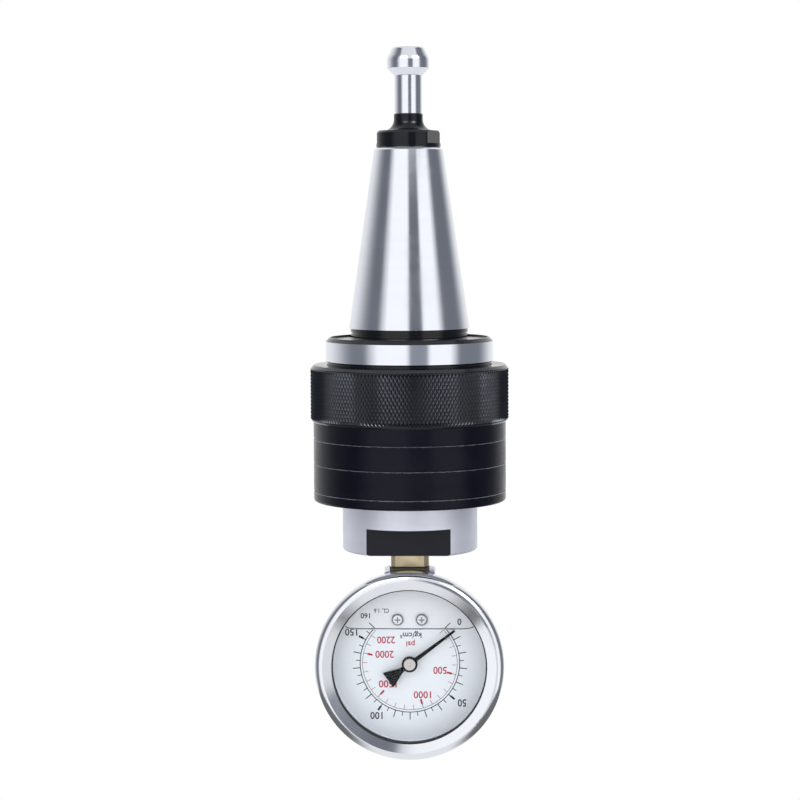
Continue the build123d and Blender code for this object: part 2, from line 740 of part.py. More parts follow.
# Piston base: piston head in the cylinder, ground base below it, gauge port and flats
piston_r = cylinder_bore_d / 2 - running_gap
seal_top_z = piston_top_z - seal_drop
with BuildPart() as piston_base:
    with BuildSketch(Plane.XZ):
        with BuildLine():
            Polyline(
                (0, piston_top_z),
                (piston_r, piston_top_z),
                (piston_r, piston_shoulder_z),
                (base_d / 2, piston_shoulder_z),
                (base_d / 2, base_bottom_z),
                (0, base_bottom_z),
                close=True,
            )
        make_face()
    revolve(axis=Axis.Z)
    fillet(round_edges(piston_base.part, base_bottom_z, base_d / 2), radius=base_edge)
    with BuildSketch(Plane.XZ):
        with Locations((piston_r, seal_top_z - (seal_width + backup_width) / 2)):
            Rectangle(2 * seal_depth, seal_width + backup_width + 3 * face_gap)
    revolve(axis=Axis.Z, mode=Mode.SUBTRACT)
    with BuildSketch(Plane.XY.offset(piston_top_z)):
        Circle(piston_recess_d / 2)
    extrude(amount=-piston_recess_depth, mode=Mode.SUBTRACT)
    with BuildSketch(Plane.XY.offset(rod_seat_z)):
        Circle(rod_thread_d / 2 + thread_gap)
    extrude(amount=-(rod_thread_length + end_gap), mode=Mode.SUBTRACT)
    with BuildSketch(Plane.XY.offset(base_bottom_z)):
        Circle(stem_thread_d / 2 + thread_gap)
    extrude(amount=port_floor_z - base_bottom_z, mode=Mode.SUBTRACT)
    with BuildSketch(Plane.XY.offset(base_bottom_z)):
        Circle(port_bore_d / 2)
    extrude(amount=rod_end_z - base_bottom_z, mode=Mode.SUBTRACT)
    with BuildSketch(Plane.XY.offset(base_bottom_z)):
        with Locations((bleed_place, 0)):
            Circle(bleed_duct_d / 2)
    extrude(amount=rod_seat_z - base_bottom_z, mode=Mode.SUBTRACT)
    with Locations(Plane.XY.offset(base_bottom_z)):
        with Locations(Location((bleed_place, 0, 0), (180, 0, 0))):
            CounterBoreHole(
                bleed_thread_d / 2 + thread_gap,
                bleed_head_d / 2 + free_gap,
                bleed_head_height + bleed_washer_thickness + free_gap,
                depth=bleed_head_height + bleed_washer_thickness + bleed_thread_length + end_gap,
            )
    with BuildSketch(Plane.XY.offset(base_bottom_z)):
        Rectangle(2 * base_d, 2 * base_d)
        Rectangle(2 * base_d, base_flats, mode=Mode.SUBTRACT)
    extrude(amount=base_flat_height, mode=Mode.SUBTRACT)
piston_base.part.label = "piston_base"
export_step(piston_base.part, "parts/piston_base.step")

# Piston seal and its backup ring, in one groove
seal_inner_r = piston_r - seal_depth + face_gap
with BuildPart() as piston_seal:
    with BuildSketch(Plane.XY.offset(seal_top_z - seal_width)):
        Circle(piston_r)
        Circle(seal_inner_r, mode=Mode.SUBTRACT)
    extrude(amount=seal_width)
    fillet(piston_seal.edges().filter_by(GeomType.CIRCLE), radius=seal_width / 4)
piston_seal.part.label = "piston_seal"
export_step(piston_seal.part, "parts/piston_seal.step")

with BuildPart() as backup_ring:
    with BuildSketch(Plane.XY.offset(seal_top_z - seal_width - face_gap - backup_width)):
        Circle(piston_r)
        Circle(seal_inner_r, mode=Mode.SUBTRACT)
    extrude(amount=backup_width)
backup_ring.part.label = "backup_ring"
export_step(backup_ring.part, "parts/backup_ring.step")

# Bleed screw and washer, flush in the base's lower face
bleed_head_z = base_bottom_z + free_gap + bleed_head_height
with BuildPart() as bleed_washer:
    with BuildSketch(Plane.XY.offset(bleed_head_z)):
        with Locations((bleed_place, 0)):
            Circle(bleed_head_d / 2)
            Circle(bleed_thread_d / 2 + running_gap, mode=Mode.SUBTRACT)
    extrude(amount=bleed_washer_thickness)
bleed_washer.part.label = "bleed_washer"
export_step(bleed_washer.part, "parts/bleed_washer.step")

with BuildPart() as bleed_screw:
    with BuildSketch(Plane.XY.offset(bleed_head_z)):
        with Locations((bleed_place, 0)):
            Circle(bleed_thread_d / 2)
    extrude(amount=bleed_washer_thickness + bleed_thread_length)
    with BuildSketch(Plane.XY.offset(bleed_head_z)):
        with Locations((bleed_place, 0)):
            Circle(bleed_head_d / 2)
    extrude(amount=-bleed_head_height)
    with BuildSketch(Plane.XY.offset(bleed_head_z - bleed_head_height)):
        with Locations((bleed_place, 0)):
            RegularPolygon(bleed_socket / 2, 6, major_radius=False)
    extrude(amount=bleed_socket_depth, mode=Mode.SUBTRACT)
bleed_screw.part.label = "bleed_screw"
export_step(bleed_screw.part, "parts/bleed_screw.step")

# Port washer: seals the end of the gauge stem against the port's floor
with BuildPart() as port_washer:
    with BuildSketch(Plane.XY.offset(stem_end_z)):
        Circle(port_washer_d / 2)
        Circle(port_bore_d / 2, mode=Mode.SUBTRACT)
    extrude(amount=port_washer_thickness)
port_washer.part.label = "port_washer"
export_step(port_washer.part, "parts/port_washer.step")

# Gauge stem: thread, chamfered square, inner block for the dial, tongue for the movement
stem_foot_z = gauge_z + stem_foot_rise
tongue_front_y = -back_plate_depth
with BuildPart() as gauge_stem:
    with BuildSketch(Plane.XY.offset(stem_foot_z)) as stem_section:
        Rectangle(stem_square, stem_square)
        chamfer(stem_section.vertices(), length=stem_corner)
    extrude(amount=stem_shoulder_z - stem_foot_z)
    with BuildSketch(Plane.XY.offset(stem_foot_z)):
        with Locations((0, -dial_back / 2)):
            Rectangle(stem_square, dial_back)
    extrude(amount=stem_block_rise - stem_foot_rise)
    with BuildSketch(Plane.XY.offset(stem_foot_z - tongue_length)):
        with Locations((0, tongue_front_y + tongue_thickness / 2)):
            Rectangle(tongue_width, tongue_thickness)
    extrude(amount=tongue_length)
    with BuildSketch(Plane.XY.offset(stem_shoulder_z)):
        Circle(stem_thread_d / 2)
    extrude(amount=stem_thread_length)
    with BuildSketch(Plane.XZ):
        with Locations((stem_thread_d / 2, stem_shoulder_z + stem_relief_length / 2)):
            Rectangle(2 * stem_relief_depth, stem_relief_length)
    revolve(axis=Axis.Z, mode=Mode.SUBTRACT)
    chamfer(round_edges(gauge_stem.part, stem_end_z, stem_thread_d / 2), length=stem_relief_depth)
    with BuildSketch(Plane.XY.offset(stem_end_z)):
        Circle(stem_bore_d / 2)
    extrude(amount=gauge_z + tube_r - stem_end_z, mode=Mode.SUBTRACT)
    with BuildSketch(Plane.XZ.offset(-(tube_depth + stem_bore_d / 2))):
        with Locations((0, gauge_z + tube_r)):
            Circle(tube_height / 2)
    extrude(amount=tube_depth + stem_bore_d / 2, mode=Mode.SUBTRACT)
    with BuildSketch(tube_plane(tube_root_angle)):
        with Locations((tube_depth, tube_r)):
            SlotOverall(tube_width + 2 * face_gap, tube_height + 2 * face_gap)
    revolve(axis=gauge_axis, revolution_arc=tube_root_angle, mode=Mode.SUBTRACT)
    with BuildSketch(gauge_face(dial_back)):
        with Locations((0, dial_screw_rise)):
            with GridLocations(dial_screw_span, 0, 2, 1):
                Circle(dial_screw_d / 2 + running_gap)
    extrude(amount=-(dial_screw_length - dial_thickness + stop_gap), mode=Mode.SUBTRACT)
    with BuildSketch(gauge_face(back_plate_depth)):
        with Locations((0, plate_screw_rise)):
            with GridLocations(plate_screw_span, 0, 2, 1):
                Circle(plate_screw_d / 2 + running_gap)
    extrude(amount=-(plate_screw_length - plate_thickness + stop_gap), mode=Mode.SUBTRACT)
gauge_stem.part.label = "gauge_stem"
export_step(gauge_stem.part, "parts/gauge_stem.step")

# Gauge case: drawn cup with a front flange, and the saddle round the stem
case_r = case_d / 2
horn_top_z = gauge_z + saddle_horn_rise
stem_gasket_seat = stem_square + 2 * stem_gasket_wall
with BuildPart() as gauge_case:
    with BuildSketch(gauge_section):
        with BuildLine():
            Polyline(
                (case_back, 0),
                (case_back, case_r),
                (case_flange_thickness - case_flange_front, case_r),
                (case_flange_thickness - case_flange_front, case_flange_d / 2),
                (-case_flange_front, case_flange_d / 2),
                (-case_flange_front, 0),
                close=True,
            )
        make_face()
    revolve(axis=gauge_axis)
    fillet(gauge_edges(gauge_case.part, case_back, case_r), radius=case_corner)
    with BuildSketch(Plane.XY.offset(gauge_z + stem_block_rise)):
        Rectangle(saddle_width, saddle_width)
    extrude(amount=saddle_rise - stem_block_rise)
    with BuildSketch(Plane.XZ.offset(saddle_width / 2)):
        with BuildLine():
            Polyline(
                (-saddle_width / 2, gauge_z + stem_block_rise),
                (-saddle_width / 2, horn_top_z - saddle_horn_fall),
                (-saddle_horn_place, horn_top_z),
                (saddle_horn_foot - saddle_horn_place, gauge_z + saddle_front_rise),
                (saddle_horn_place - saddle_horn_foot, gauge_z + saddle_front_rise),
                (saddle_horn_place, horn_top_z),
                (saddle_width / 2, horn_top_z - saddle_horn_fall),
                (saddle_width / 2, gauge_z + stem_block_rise),
                close=True,
            )
        make_face()
    extrude(amount=-(saddle_width - stem_gasket_seat) / 2)
    with BuildSketch(gauge_section):
        with BuildLine():
            Polyline(
                (case_back - case_corner, case_r - case_wall),
                (-case_flange_front, case_r - case_wall),
                (-case_flange_front, 0),
                (case_back - case_wall, 0),
                (case_back - case_wall, case_r - case_corner),
            )
            CenterArc((case_back - case_corner, case_r - case_corner), case_corner - case_wall, 0, 90)
        make_face()
    revolve(axis=gauge_axis, mode=Mode.SUBTRACT)
    with BuildSketch(Plane.XY.offset(gauge_z + stem_block_rise)):
        Rectangle(stem_square + 2 * running_gap, stem_square + 2 * running_gap)
    extrude(amount=saddle_rise - stem_block_rise, mode=Mode.SUBTRACT)
    with BuildSketch(Plane.XY.offset(gauge_z + case_r)):
        Rectangle(stem_gasket_seat, stem_gasket_seat)
    extrude(amount=saddle_rise - case_r, mode=Mode.SUBTRACT)
    with BuildSketch(Plane.XY.offset(gauge_z - case_r)):
        with Locations((0, vent_back)):
            Circle(vent_plug_d / 2 + running_gap)
    extrude(amount=case_r / 2, mode=Mode.SUBTRACT)
gauge_case.part.label = "gauge_case"
export_step(gauge_case.part, "parts/gauge_case.step")

# Stem gasket: square rubber ring between the stem and the saddle
with BuildPart() as stem_gasket:
    with BuildSketch(Plane.XY.offset(gauge_z + case_r + face_gap)):
        Rectangle(stem_gasket_seat - stop_gap, stem_gasket_seat - stop_gap)
        Rectangle(stem_square + stop_gap, stem_square + stop_gap, mode=Mode.SUBTRACT)
    extrude(amount=stem_gasket_height)
stem_gasket.part.label = "stem_gasket"
export_step(stem_gasket.part, "parts/stem_gasket.step")

# Vent plug: rubber, at the side of the case away from the stem
vent_head_dip = case_r - sqrt(case_r**2 - vent_head_d**2 / 4)  # of the case's side under the head
with BuildPart() as vent_plug:
    with BuildSketch(Plane.XY.offset(gauge_z - case_r - vent_head_height)):
        with Locations((0, vent_back)):
            Circle(vent_head_d / 2)
    extrude(amount=vent_head_height + vent_head_dip)
    fillet(vent_plug.edges().group_by(Axis.Z)[0], radius=vent_head_height / 2)
    with BuildSketch(Plane.XZ.offset(-case_back)):
        with Locations((0, gauge_z)):
            Circle(case_r + face_gap)
    extrude(amount=case_back + bezel_front, mode=Mode.SUBTRACT)
    with BuildSketch(Plane.XY.offset(gauge_z - case_r - face_gap)):
        with Locations((0, vent_back)):
            Circle(vent_plug_d / 2)
    extrude(amount=face_gap + case_wall + vent_inner_gap)
    with BuildSketch(Plane.XY.offset(gauge_z - case_r + case_wall + vent_inner_gap)):
        with Locations((0, vent_back)):
            Circle(vent_inner_d / 2)
    extrude(amount=vent_inner_height)
vent_plug.part.label = "vent_plug"
export_step(vent_plug.part, "parts/vent_plug.step")

# Window gasket, window and the rolled bezel that holds them on the case's flange
window_r = case_flange_d / 2 - stop_gap
with BuildPart() as window_gasket:
    with BuildSketch(gauge_face(case_flange_front)):
        Circle(window_r)
        Circle(window_r - gasket_width, mode=Mode.SUBTRACT)
    extrude(amount=gasket_thickness)
window_gasket.part.label = "window_gasket"
export_step(window_gasket.part, "parts/window_gasket.step")

with BuildPart() as window:
    with BuildSketch(gauge_face(gasket_face)):
        Circle(window_r)
    extrude(amount=window_thickness)
window.part.label = "window"
export_step(window.part, "parts/window.step")

bezel_inner_r = case_flange_d / 2 + face_gap
window_front = bezel_front - window_drop
curl_back = case_flange_front - case_flange_thickness - face_gap
with BuildPart() as bezel:
    with BuildSketch(gauge_section):
        with BuildLine():
            Polyline(
                (-bezel_front, bezel_d / 2 - window_drop),
                (-window_front - bezel_lip_thickness, bezel_lip_d / 2),
                (-window_front - face_gap, bezel_lip_d / 2),
                (-window_front - face_gap, bezel_inner_r),
                (-curl_back, bezel_inner_r),
                (-curl_back, bezel_curl_d / 2),
                (-curl_back + bezel_curl_thickness, bezel_curl_d / 2),
                (-curl_back + bezel_curl_thickness, bezel_d / 2 - bezel_curl_edge),
            )
            RadiusArc(
                (-curl_back + bezel_curl_thickness, bezel_d / 2 - bezel_curl_edge),
                (-curl_back + bezel_curl_thickness - bezel_curl_edge, bezel_d / 2),
                -bezel_curl_edge,
            )
            Line(
                (-curl_back + bezel_curl_thickness - bezel_curl_edge, bezel_d / 2),
                (-window_front, bezel_d / 2),
            )
            CenterArc((-window_front, bezel_d / 2 - window_drop), window_drop, 90, 90)
        make_face()
    revolve(axis=gauge_axis)
bezel.part.label = "bezel"
export_step(bezel.part, "parts/bezel.step")

# Dial with its two screws
with BuildPart() as dial:
    with BuildSketch(gauge_face(dial_back)):
        Circle(dial_d / 2)
        Circle(dial_hole_d / 2, mode=Mode.SUBTRACT)
        with Locations((0, dial_screw_rise)):
            with GridLocations(dial_screw_span, 0, 2, 1):
                Circle(dial_screw_d / 2 + running_gap, mode=Mode.SUBTRACT)
    extrude(amount=dial_thickness)
dial.part.label = "dial"
export_step(dial.part, "parts/dial.step")

dial_front = dial_back + dial_thickness
with BuildPart() as dial_screws:
    with BuildSketch(gauge_face(dial_front)):
        with Locations((0, dial_screw_rise)):
            with GridLocations(dial_screw_span, 0, 2, 1):
                Circle(dial_screw_d / 2)
    extrude(amount=-dial_screw_length)
    with BuildSketch(gauge_face(dial_front)):
        with Locations((0, dial_screw_rise)):
            with GridLocations(dial_screw_span, 0, 2, 1):
                Circle(dial_screw_head_d / 2)
    extrude(amount=dial_screw_head_height)
    fillet(dial_screws.edges().group_by(Axis.Y)[0], radius=dial_screw_head_height / 2)
    with BuildSketch(gauge_face(dial_front + dial_screw_head_height)):
        with Locations((0, dial_screw_rise)):
            with GridLocations(dial_screw_span, 0, 2, 1):
                Rectangle(dial_screw_slot, dial_screw_head_d / 2)
                Rectangle(dial_screw_head_d / 2, dial_screw_slot)
    extrude(amount=-dial_screw_head_height / 2, mode=Mode.SUBTRACT)
dial_screws.part.label = "dial_screws"
export_step(dial_screws.part, "parts/dial_screws.step")

# Pointer with its black ring, and the light hub that it is riveted on
with BuildSketch() as pointer_blade:
    with BuildLine():
        Polyline(
            (pointer_length, pointer_tip_width / 2),
            (0, pointer_root_width / 2),
            (-pointer_ring_d / 2, pointer_root_width / 2),
            (-pointer_tail_neck, pointer_tail_root_width / 2),
            (-pointer_tail_length, pointer_tail_width / 2),
            (-pointer_tail_length, -pointer_tail_width / 2),
            (-pointer_tail_neck, -pointer_tail_root_width / 2),
            (-pointer_ring_d / 2, -pointer_root_width / 2),
            (0, -pointer_root_width / 2),
            (pointer_length, -pointer_tip_width / 2),
            close=True,
        )
    make_face()
with BuildPart() as pointer:
    with BuildSketch(gauge_face(pointer_back)):
        with Locations(Location((0, 0, 0), (0, 0, pointer_angle))):
            add(pointer_blade.sketch)
    extrude(amount=pointer_thickness)
    with BuildSketch(gauge_face(pointer_back)):
        Circle(pointer_ring_d / 2)
    extrude(amount=pointer_ring_height)
    with BuildSketch(gauge_face(pointer_back)):
        Circle(pointer_hub_d / 2 + running_gap)
    extrude(amount=pointer_ring_height, mode=Mode.SUBTRACT)
pointer.part.label = "pointer"
export_step(pointer.part, "parts/pointer.step")

pinion_front = pointer_hub_front - stop_gap
with BuildPart() as pointer_hub:
    with BuildSketch(gauge_face(pointer_hub_back)):
        Circle(pointer_hub_d / 2)
    extrude(amount=pointer_hub_front - pointer_hub_back)
    with BuildSketch(gauge_face(pointer_hub_back)):
        Circle(arbor_d / 2 + running_gap)
    extrude(amount=pointer_hub_front - pointer_hub_back, mode=Mode.SUBTRACT)
pointer_hub.part.label = "pointer_hub"
export_step(pointer_hub.part, "parts/pointer_hub.step")

# Movement plates, pillars and screws
pivot_drop = sqrt((pinion_r + wheel_r) ** 2 - pivot_lean**2)
pivot = (pivot_lean, -pivot_drop)
pillar_places = (
    (-pillar_span / 2, pillar_rise),
    (pillar_span / 2, pillar_rise),
    (pivot_lean, -pivot_drop - pillar_drop),
)
plate_foot = -pivot_drop - pillar_drop - plate_margin
back_plate_top = stem_foot_rise - stop_gap
front_plate_top = pillar_rise + plate_margin
with BuildPart() as back_plate:
    with BuildSketch(gauge_face(back_plate_depth)):
        with Locations((0, (back_plate_top + plate_foot) / 2)):
            RectangleRounded(plate_width, back_plate_top - plate_foot, plate_width / 4)
        Circle(arbor_d / 2 + running_gap, mode=Mode.SUBTRACT)
        with Locations(pivot):
            Circle(arbor_d / 2 + running_gap, mode=Mode.SUBTRACT)
        with Locations((0, plate_screw_rise)):
            with GridLocations(plate_screw_span, 0, 2, 1):
                Circle(plate_screw_d / 2 + running_gap, mode=Mode.SUBTRACT)
    extrude(amount=plate_thickness)
back_plate.part.label = "back_plate"
export_step(back_plate.part, "parts/back_plate.step")

with BuildPart() as front_plate:
    with BuildSketch(gauge_face(front_plate_depth)):
        with Locations((0, (front_plate_top + plate_foot) / 2)):
            RectangleRounded(plate_width, front_plate_top - plate_foot, plate_width / 4)
        Circle(arbor_d / 2 + running_gap, mode=Mode.SUBTRACT)
        with Locations(pivot):
            Circle(arbor_d / 2 + running_gap, mode=Mode.SUBTRACT)
    extrude(amount=plate_thickness)
front_plate.part.label = "front_plate"
export_step(front_plate.part, "parts/front_plate.step")

with BuildPart() as frame_pillars:
    with BuildSketch(gauge_face(back_plate_depth + plate_thickness)):
        with Locations(*pillar_places):
            Circle(pillar_d / 2)
    extrude(amount=front_plate_depth - back_plate_depth - plate_thickness)
frame_pillars.part.label = "frame_pillars"
export_step(frame_pillars.part, "parts/frame_pillars.step")

with BuildPart() as plate_screws:
    with BuildSketch(gauge_face(back_plate_depth + plate_thickness)):
        with Locations((0, plate_screw_rise)):
            with GridLocations(plate_screw_span, 0, 2, 1):
                Circle(plate_screw_d / 2)
    extrude(amount=-plate_screw_length)
    with BuildSketch(gauge_face(back_plate_depth + plate_thickness)):
        with Locations((0, plate_screw_rise)):
            with GridLocations(plate_screw_span, 0, 2, 1):
                Circle(plate_screw_head_d / 2)
    extrude(amount=plate_screw_head_height)
plate_screws.part.label = "plate_screws"
export_step(plate_screws.part, "parts/plate_screws.step")

# Pinion on the pointer's arbor, with the collet of the hairspring
sector_sweep = pointer_sweep * pinion_teeth / wheel_teeth
tooth_step = 360 / wheel_teeth
mesh_angle = degrees(atan2(pivot_drop, -pivot_lean))
pinion_dedendum = wheel_addendum + root_clearance
wheel_dedendum = pinion_addendum + root_clearance
pinion_root_r = pinion_r - pinion_dedendum * gear_module
with BuildSketch() as pinion_tooth:
    with BuildLine():
        Polyline(*tooth_outline(pinion_teeth, pinion_addendum, pinion_dedendum), close=True)
    make_face()
with BuildPart() as pinion:
    with BuildSketch(gauge_face(sector_front - sector_thickness - pinion_overlap)):
        Circle(pinion_root_r)
        with PolarLocations(0, pinion_teeth, start_angle=mesh_angle + 180):
            add(pinion_tooth.sketch)
    extrude(amount=sector_thickness + 2 * pinion_overlap)
    with BuildSketch(gauge_face(back_plate_depth)):
        Circle(arbor_d / 2)
    extrude(amount=pinion_front - back_plate_depth)
    with BuildSketch(gauge_face(spring_depth - spring_width)):
        Circle(collet_d / 2)
    extrude(amount=spring_width)
pinion.part.label = "pinion"
export_step(pinion.part, "parts/pinion.step")

# Sector gear: toothed rim, two spokes, tail for the link, and its arbor
sector_teeth = ceil(sector_sweep / tooth_step) + 2 * sector_spare_teeth
first_tooth = mesh_angle + tooth_step * (sector_spare_teeth - 0.5)
last_tooth = first_tooth - tooth_step * (sector_teeth - 1)
rim_start = last_tooth - tooth_step / 2
rim_sweep = tooth_step * sector_teeth
wheel_root_r = wheel_r - wheel_dedendum * gear_module
rim_inner_r = wheel_root_r - sector_rim
spoke_lean = degrees(sector_spoke / 2 / rim_inner_r)
tail_angle = 180 - sector_sweep / 2
tail_eye = (
    pivot_lean + tail_length * cos(radians(tail_angle)),
    -pivot_drop + tail_length * sin(radians(tail_angle)),
)
with BuildSketch() as wheel_tooth:
    with BuildLine():
        Polyline(*tooth_outline(wheel_teeth, wheel_addendum, wheel_dedendum), close=True)
    make_face()
with BuildPart() as sector_gear:
    with BuildSketch(gauge_face(sector_front - sector_thickness)):
        with BuildLine():
            outer_rim = CenterArc(pivot, wheel_root_r, rim_start, rim_sweep)
            inner_rim = CenterArc(pivot, rim_inner_r, rim_start, rim_sweep)
            Line(outer_rim @ 0, inner_rim @ 0)
            Line(outer_rim @ 1, inner_rim @ 1)
        make_face()
        with Locations(pivot):
            Circle(sector_hub_d / 2)
            with PolarLocations(0, sector_teeth, start_angle=last_tooth, angular_range=rim_sweep):
                add(wheel_tooth.sketch)
        for spoke_angle in (rim_start + spoke_lean, rim_start + rim_sweep - spoke_lean):
            with Locations(Location((*pivot, 0), (0, 0, spoke_angle))):
                Rectangle(rim_inner_r + sector_rim / 2, sector_spoke, align=(Align.MIN, Align.CENTER))
        with Locations(Location((*pivot, 0), (0, 0, tail_angle))):
            Rectangle(tail_length, tail_width, align=(Align.MIN, Align.CENTER))
        with Locations(tail_eye):
            Circle(tail_eye_d / 2)
            Circle(link_pin_d / 2 + running_gap, mode=Mode.SUBTRACT)
    extrude(amount=sector_thickness)
    with BuildSketch(gauge_face(back_plate_depth)):
        with Locations(pivot):
            Circle(arbor_d / 2)
    extrude(amount=front_plate_depth + plate_thickness - back_plate_depth)
sector_gear.part.label = "sector_gear"
export_step(sector_gear.part, "parts/sector_gear.step")

# Link from the sector's tail to the tube's tip, and the pin that it turns on
link_back = sector_front + link_gap
link_angle = degrees(atan2(tip_pivot[1] - tail_eye[1], tip_pivot[0] - tail_eye[0]))
link_length = sqrt((tip_pivot[0] - tail_eye[0]) ** 2 + (tip_pivot[1] - tail_eye[1]) ** 2)
with BuildPart() as link:
    with BuildSketch(gauge_face(link_back)):
        with Locations(Location((*tail_eye, 0), (0, 0, link_angle))):
            Rectangle(link_length, link_width, align=(Align.MIN, Align.CENTER))
        with Locations(tail_eye, tip_pivot):
            Circle(link_eye_d / 2)
            Circle(link_pin_d / 2 + running_gap, mode=Mode.SUBTRACT)
    extrude(amount=link_thickness)
link.part.label = "link"
export_step(link.part, "parts/link.step")

with BuildPart() as link_pin:
    with BuildSketch(gauge_face(sector_front - sector_thickness - link_gap)):
        with Locations(tail_eye):
            Circle(link_pin_d / 2)
    extrude(amount=sector_thickness + 2 * link_gap + link_thickness)
    with BuildSketch(gauge_face(link_back + link_thickness)):
        with Locations(tail_eye):
            Circle(link_pin_head_d / 2)
    extrude(amount=link_gap)
link_pin.part.label = "link_pin"
export_step(link_pin.part, "parts/link_pin.step")

# Hairspring: a flat spiral of half circles, its outer end on the right pillar
with BuildPart() as hairspring:
    with BuildSketch(gauge_face(spring_depth - spring_width)):
        with BuildLine():
            for turn in range(spring_half_turns):
                odd = turn % 2
                CenterArc(
                    (odd * spring_pitch / 2, 0),
                    spring_inner_r + turn * spring_pitch / 2,
                    180 * odd,
                    180,
                )
            spring_end = spring_inner_r + spring_half_turns * spring_pitch / 2
            Line((spring_end, 0), (pillar_span / 2, pillar_rise - pillar_d / 2 - face_gap))
        trace(line_width=spring_strip)
    extrude(amount=spring_width)
hairspring.part.label = "hairspring"
export_step(hairspring.part, "parts/hairspring.step")

# Bourdon tube: flattened brass tube bent round the movement, closed by its tip
with BuildPart() as bourdon_tube:
    with BuildSketch(tube_plane(tube_root_angle)):
        with Locations((tube_depth, tube_r)):
            SlotOverall(tube_width, tube_height)
            SlotOverall(tube_width - 2 * tube_wall, tube_height - 2 * tube_wall, mode=Mode.SUBTRACT)
    revolve(axis=gauge_axis, revolution_arc=tube_root_angle - tube_end_angle)
bourdon_tube.part.label = "bourdon_tube"
export_step(bourdon_tube.part, "parts/bourdon_tube.step")

with BuildPart() as tube_tip:
    with BuildSketch(gauge_face(sector_front - sector_thickness)):
        with Locations((-tube_r, tip_block / 2 + face_gap)):
            Rectangle(2 * tube_height, tip_block)
    extrude(amount=-(tube_depth + tube_width / 2 + sector_front - sector_thickness))
    with BuildSketch(gauge_face(sector_front - sector_thickness)):
        with Locations(tip_pivot):
            Circle(link_eye_d / 2)
        with BuildLine():
            Polyline(
                (-tube_r - tube_height, face_gap),
                (-tube_r - tube_height, tip_block + face_gap),
                (-tube_r + tube_height, tip_block + face_gap),
                (tip_pivot[0], tip_pivot[1] + tip_arm_width / 2),
                (tip_pivot[0], tip_pivot[1] - tip_arm_width / 2),
                (-tube_r + tube_height, face_gap),
                close=True,
            )
        make_face()
        with Locations(tip_pivot):
            Circle(link_pin_d / 2, mode=Mode.SUBTRACT)
    extrude(amount=tip_arm_thickness)
tube_tip.part.label = "tube_tip"
export_step(tube_tip.part, "parts/tube_tip.step")
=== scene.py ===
"""Looks of the spindle tension meter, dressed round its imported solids."""

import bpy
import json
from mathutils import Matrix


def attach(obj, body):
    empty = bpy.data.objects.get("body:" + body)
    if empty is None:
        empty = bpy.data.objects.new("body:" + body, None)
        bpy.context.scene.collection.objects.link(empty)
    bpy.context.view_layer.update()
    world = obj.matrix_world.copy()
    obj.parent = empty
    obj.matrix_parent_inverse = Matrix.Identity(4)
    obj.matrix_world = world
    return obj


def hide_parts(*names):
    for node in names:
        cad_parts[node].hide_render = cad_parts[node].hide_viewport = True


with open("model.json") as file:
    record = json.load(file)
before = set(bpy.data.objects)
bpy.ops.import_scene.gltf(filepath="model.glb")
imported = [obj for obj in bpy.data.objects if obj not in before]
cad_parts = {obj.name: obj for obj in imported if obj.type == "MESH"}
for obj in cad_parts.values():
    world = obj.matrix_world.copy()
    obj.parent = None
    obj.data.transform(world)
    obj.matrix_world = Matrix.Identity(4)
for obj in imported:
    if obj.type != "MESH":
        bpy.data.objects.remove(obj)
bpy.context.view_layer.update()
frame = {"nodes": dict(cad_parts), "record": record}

import json
import logging
from contextlib import contextmanager
from dataclasses import dataclass, field, replace
from enum import Enum
from math import atan2, cos, pi, radians, sin, sqrt
from typing import Callable, Iterator, Optional, Sequence, Union

import bpy
from mathutils import Vector
from mathutils.geometry import normal

log = logging.getLogger("spindle_tension_meter")

MM = 0.001
SAME_PLACE = 1e-6  # metres, points nearer than this count as one
GAUGE_HEIGHT = -126.45  # mm, centre of the dial on the spindle axis
TO_FRONT = (radians(90), 0, 0)  # turns a flat piece to face the front

Colour = tuple[float, float, float]
Place = tuple[float, float, float]
Node = bpy.types.Node
Piece = bpy.types.Object
Socket = bpy.types.NodeSocket
Value = Union[Socket, float]
Test = Callable[[list[Vector]], bool]


class Element(Enum):
    """What an edit-mode selection is made of."""

    VERTEX = "VERT"
    EDGE = "EDGE"
    FACE = "FACE"


class TurningAxis(Enum):
    """The axis that a piece was turned about."""

    SPINDLE = "spindle"
    GAUGE = "gauge"


# Modelling


def set_aside() -> None:
    """Leaves edit mode and deselects everything, so that the next operator meets its own piece alone."""
    if bpy.context.object is not None and bpy.context.object.mode != "OBJECT":
        bpy.ops.object.mode_set(mode="OBJECT")
    bpy.ops.object.select_all(action="DESELECT")


def hold(piece: Piece) -> None:
    """Makes a piece the only selected one and the active one.

    Args:
        piece: the piece.
    """
    set_aside()
    piece.select_set(True)
    bpy.context.view_layer.objects.active = piece


@contextmanager
def opened(piece: Piece) -> Iterator[None]:
    """Opens a piece in edit mode, with all of it selected, and leaves edit mode afterwards.

    Args:
        piece: the piece to edit.
    """
    hold(piece)
    bpy.ops.object.mode_set(mode="EDIT")
    bpy.ops.mesh.select_all(action="SELECT")
    yield
    bpy.ops.object.mode_set(mode="OBJECT")


def pick(piece: Piece, kind: Element, test: Test) -> None:
    """Selects in edit mode the elements of a piece that pass a test.

    Args:
        piece: the piece, in edit mode.
        kind: whether vertices, edges or faces are picked.
        test: takes an element's corner points and says whether it is picked.
    """
    bpy.ops.mesh.select_mode(type=kind.value)
    bpy.ops.mesh.select_all(action="DESELECT")
    bpy.ops.object.mode_set(mode="OBJECT")
    mesh = piece.data
    if kind is Element.VERTEX:
        chosen = [vertex for vertex in mesh.vertices if test([vertex.co])]
    else:
        elements = mesh.edges if kind is Element.EDGE else mesh.polygons
        chosen = [each for each in elements if test([mesh.vertices[i].co for i in each.vertices])]
    for element in chosen:
        element.select = True
    bpy.ops.object.mode_set(mode="EDIT")


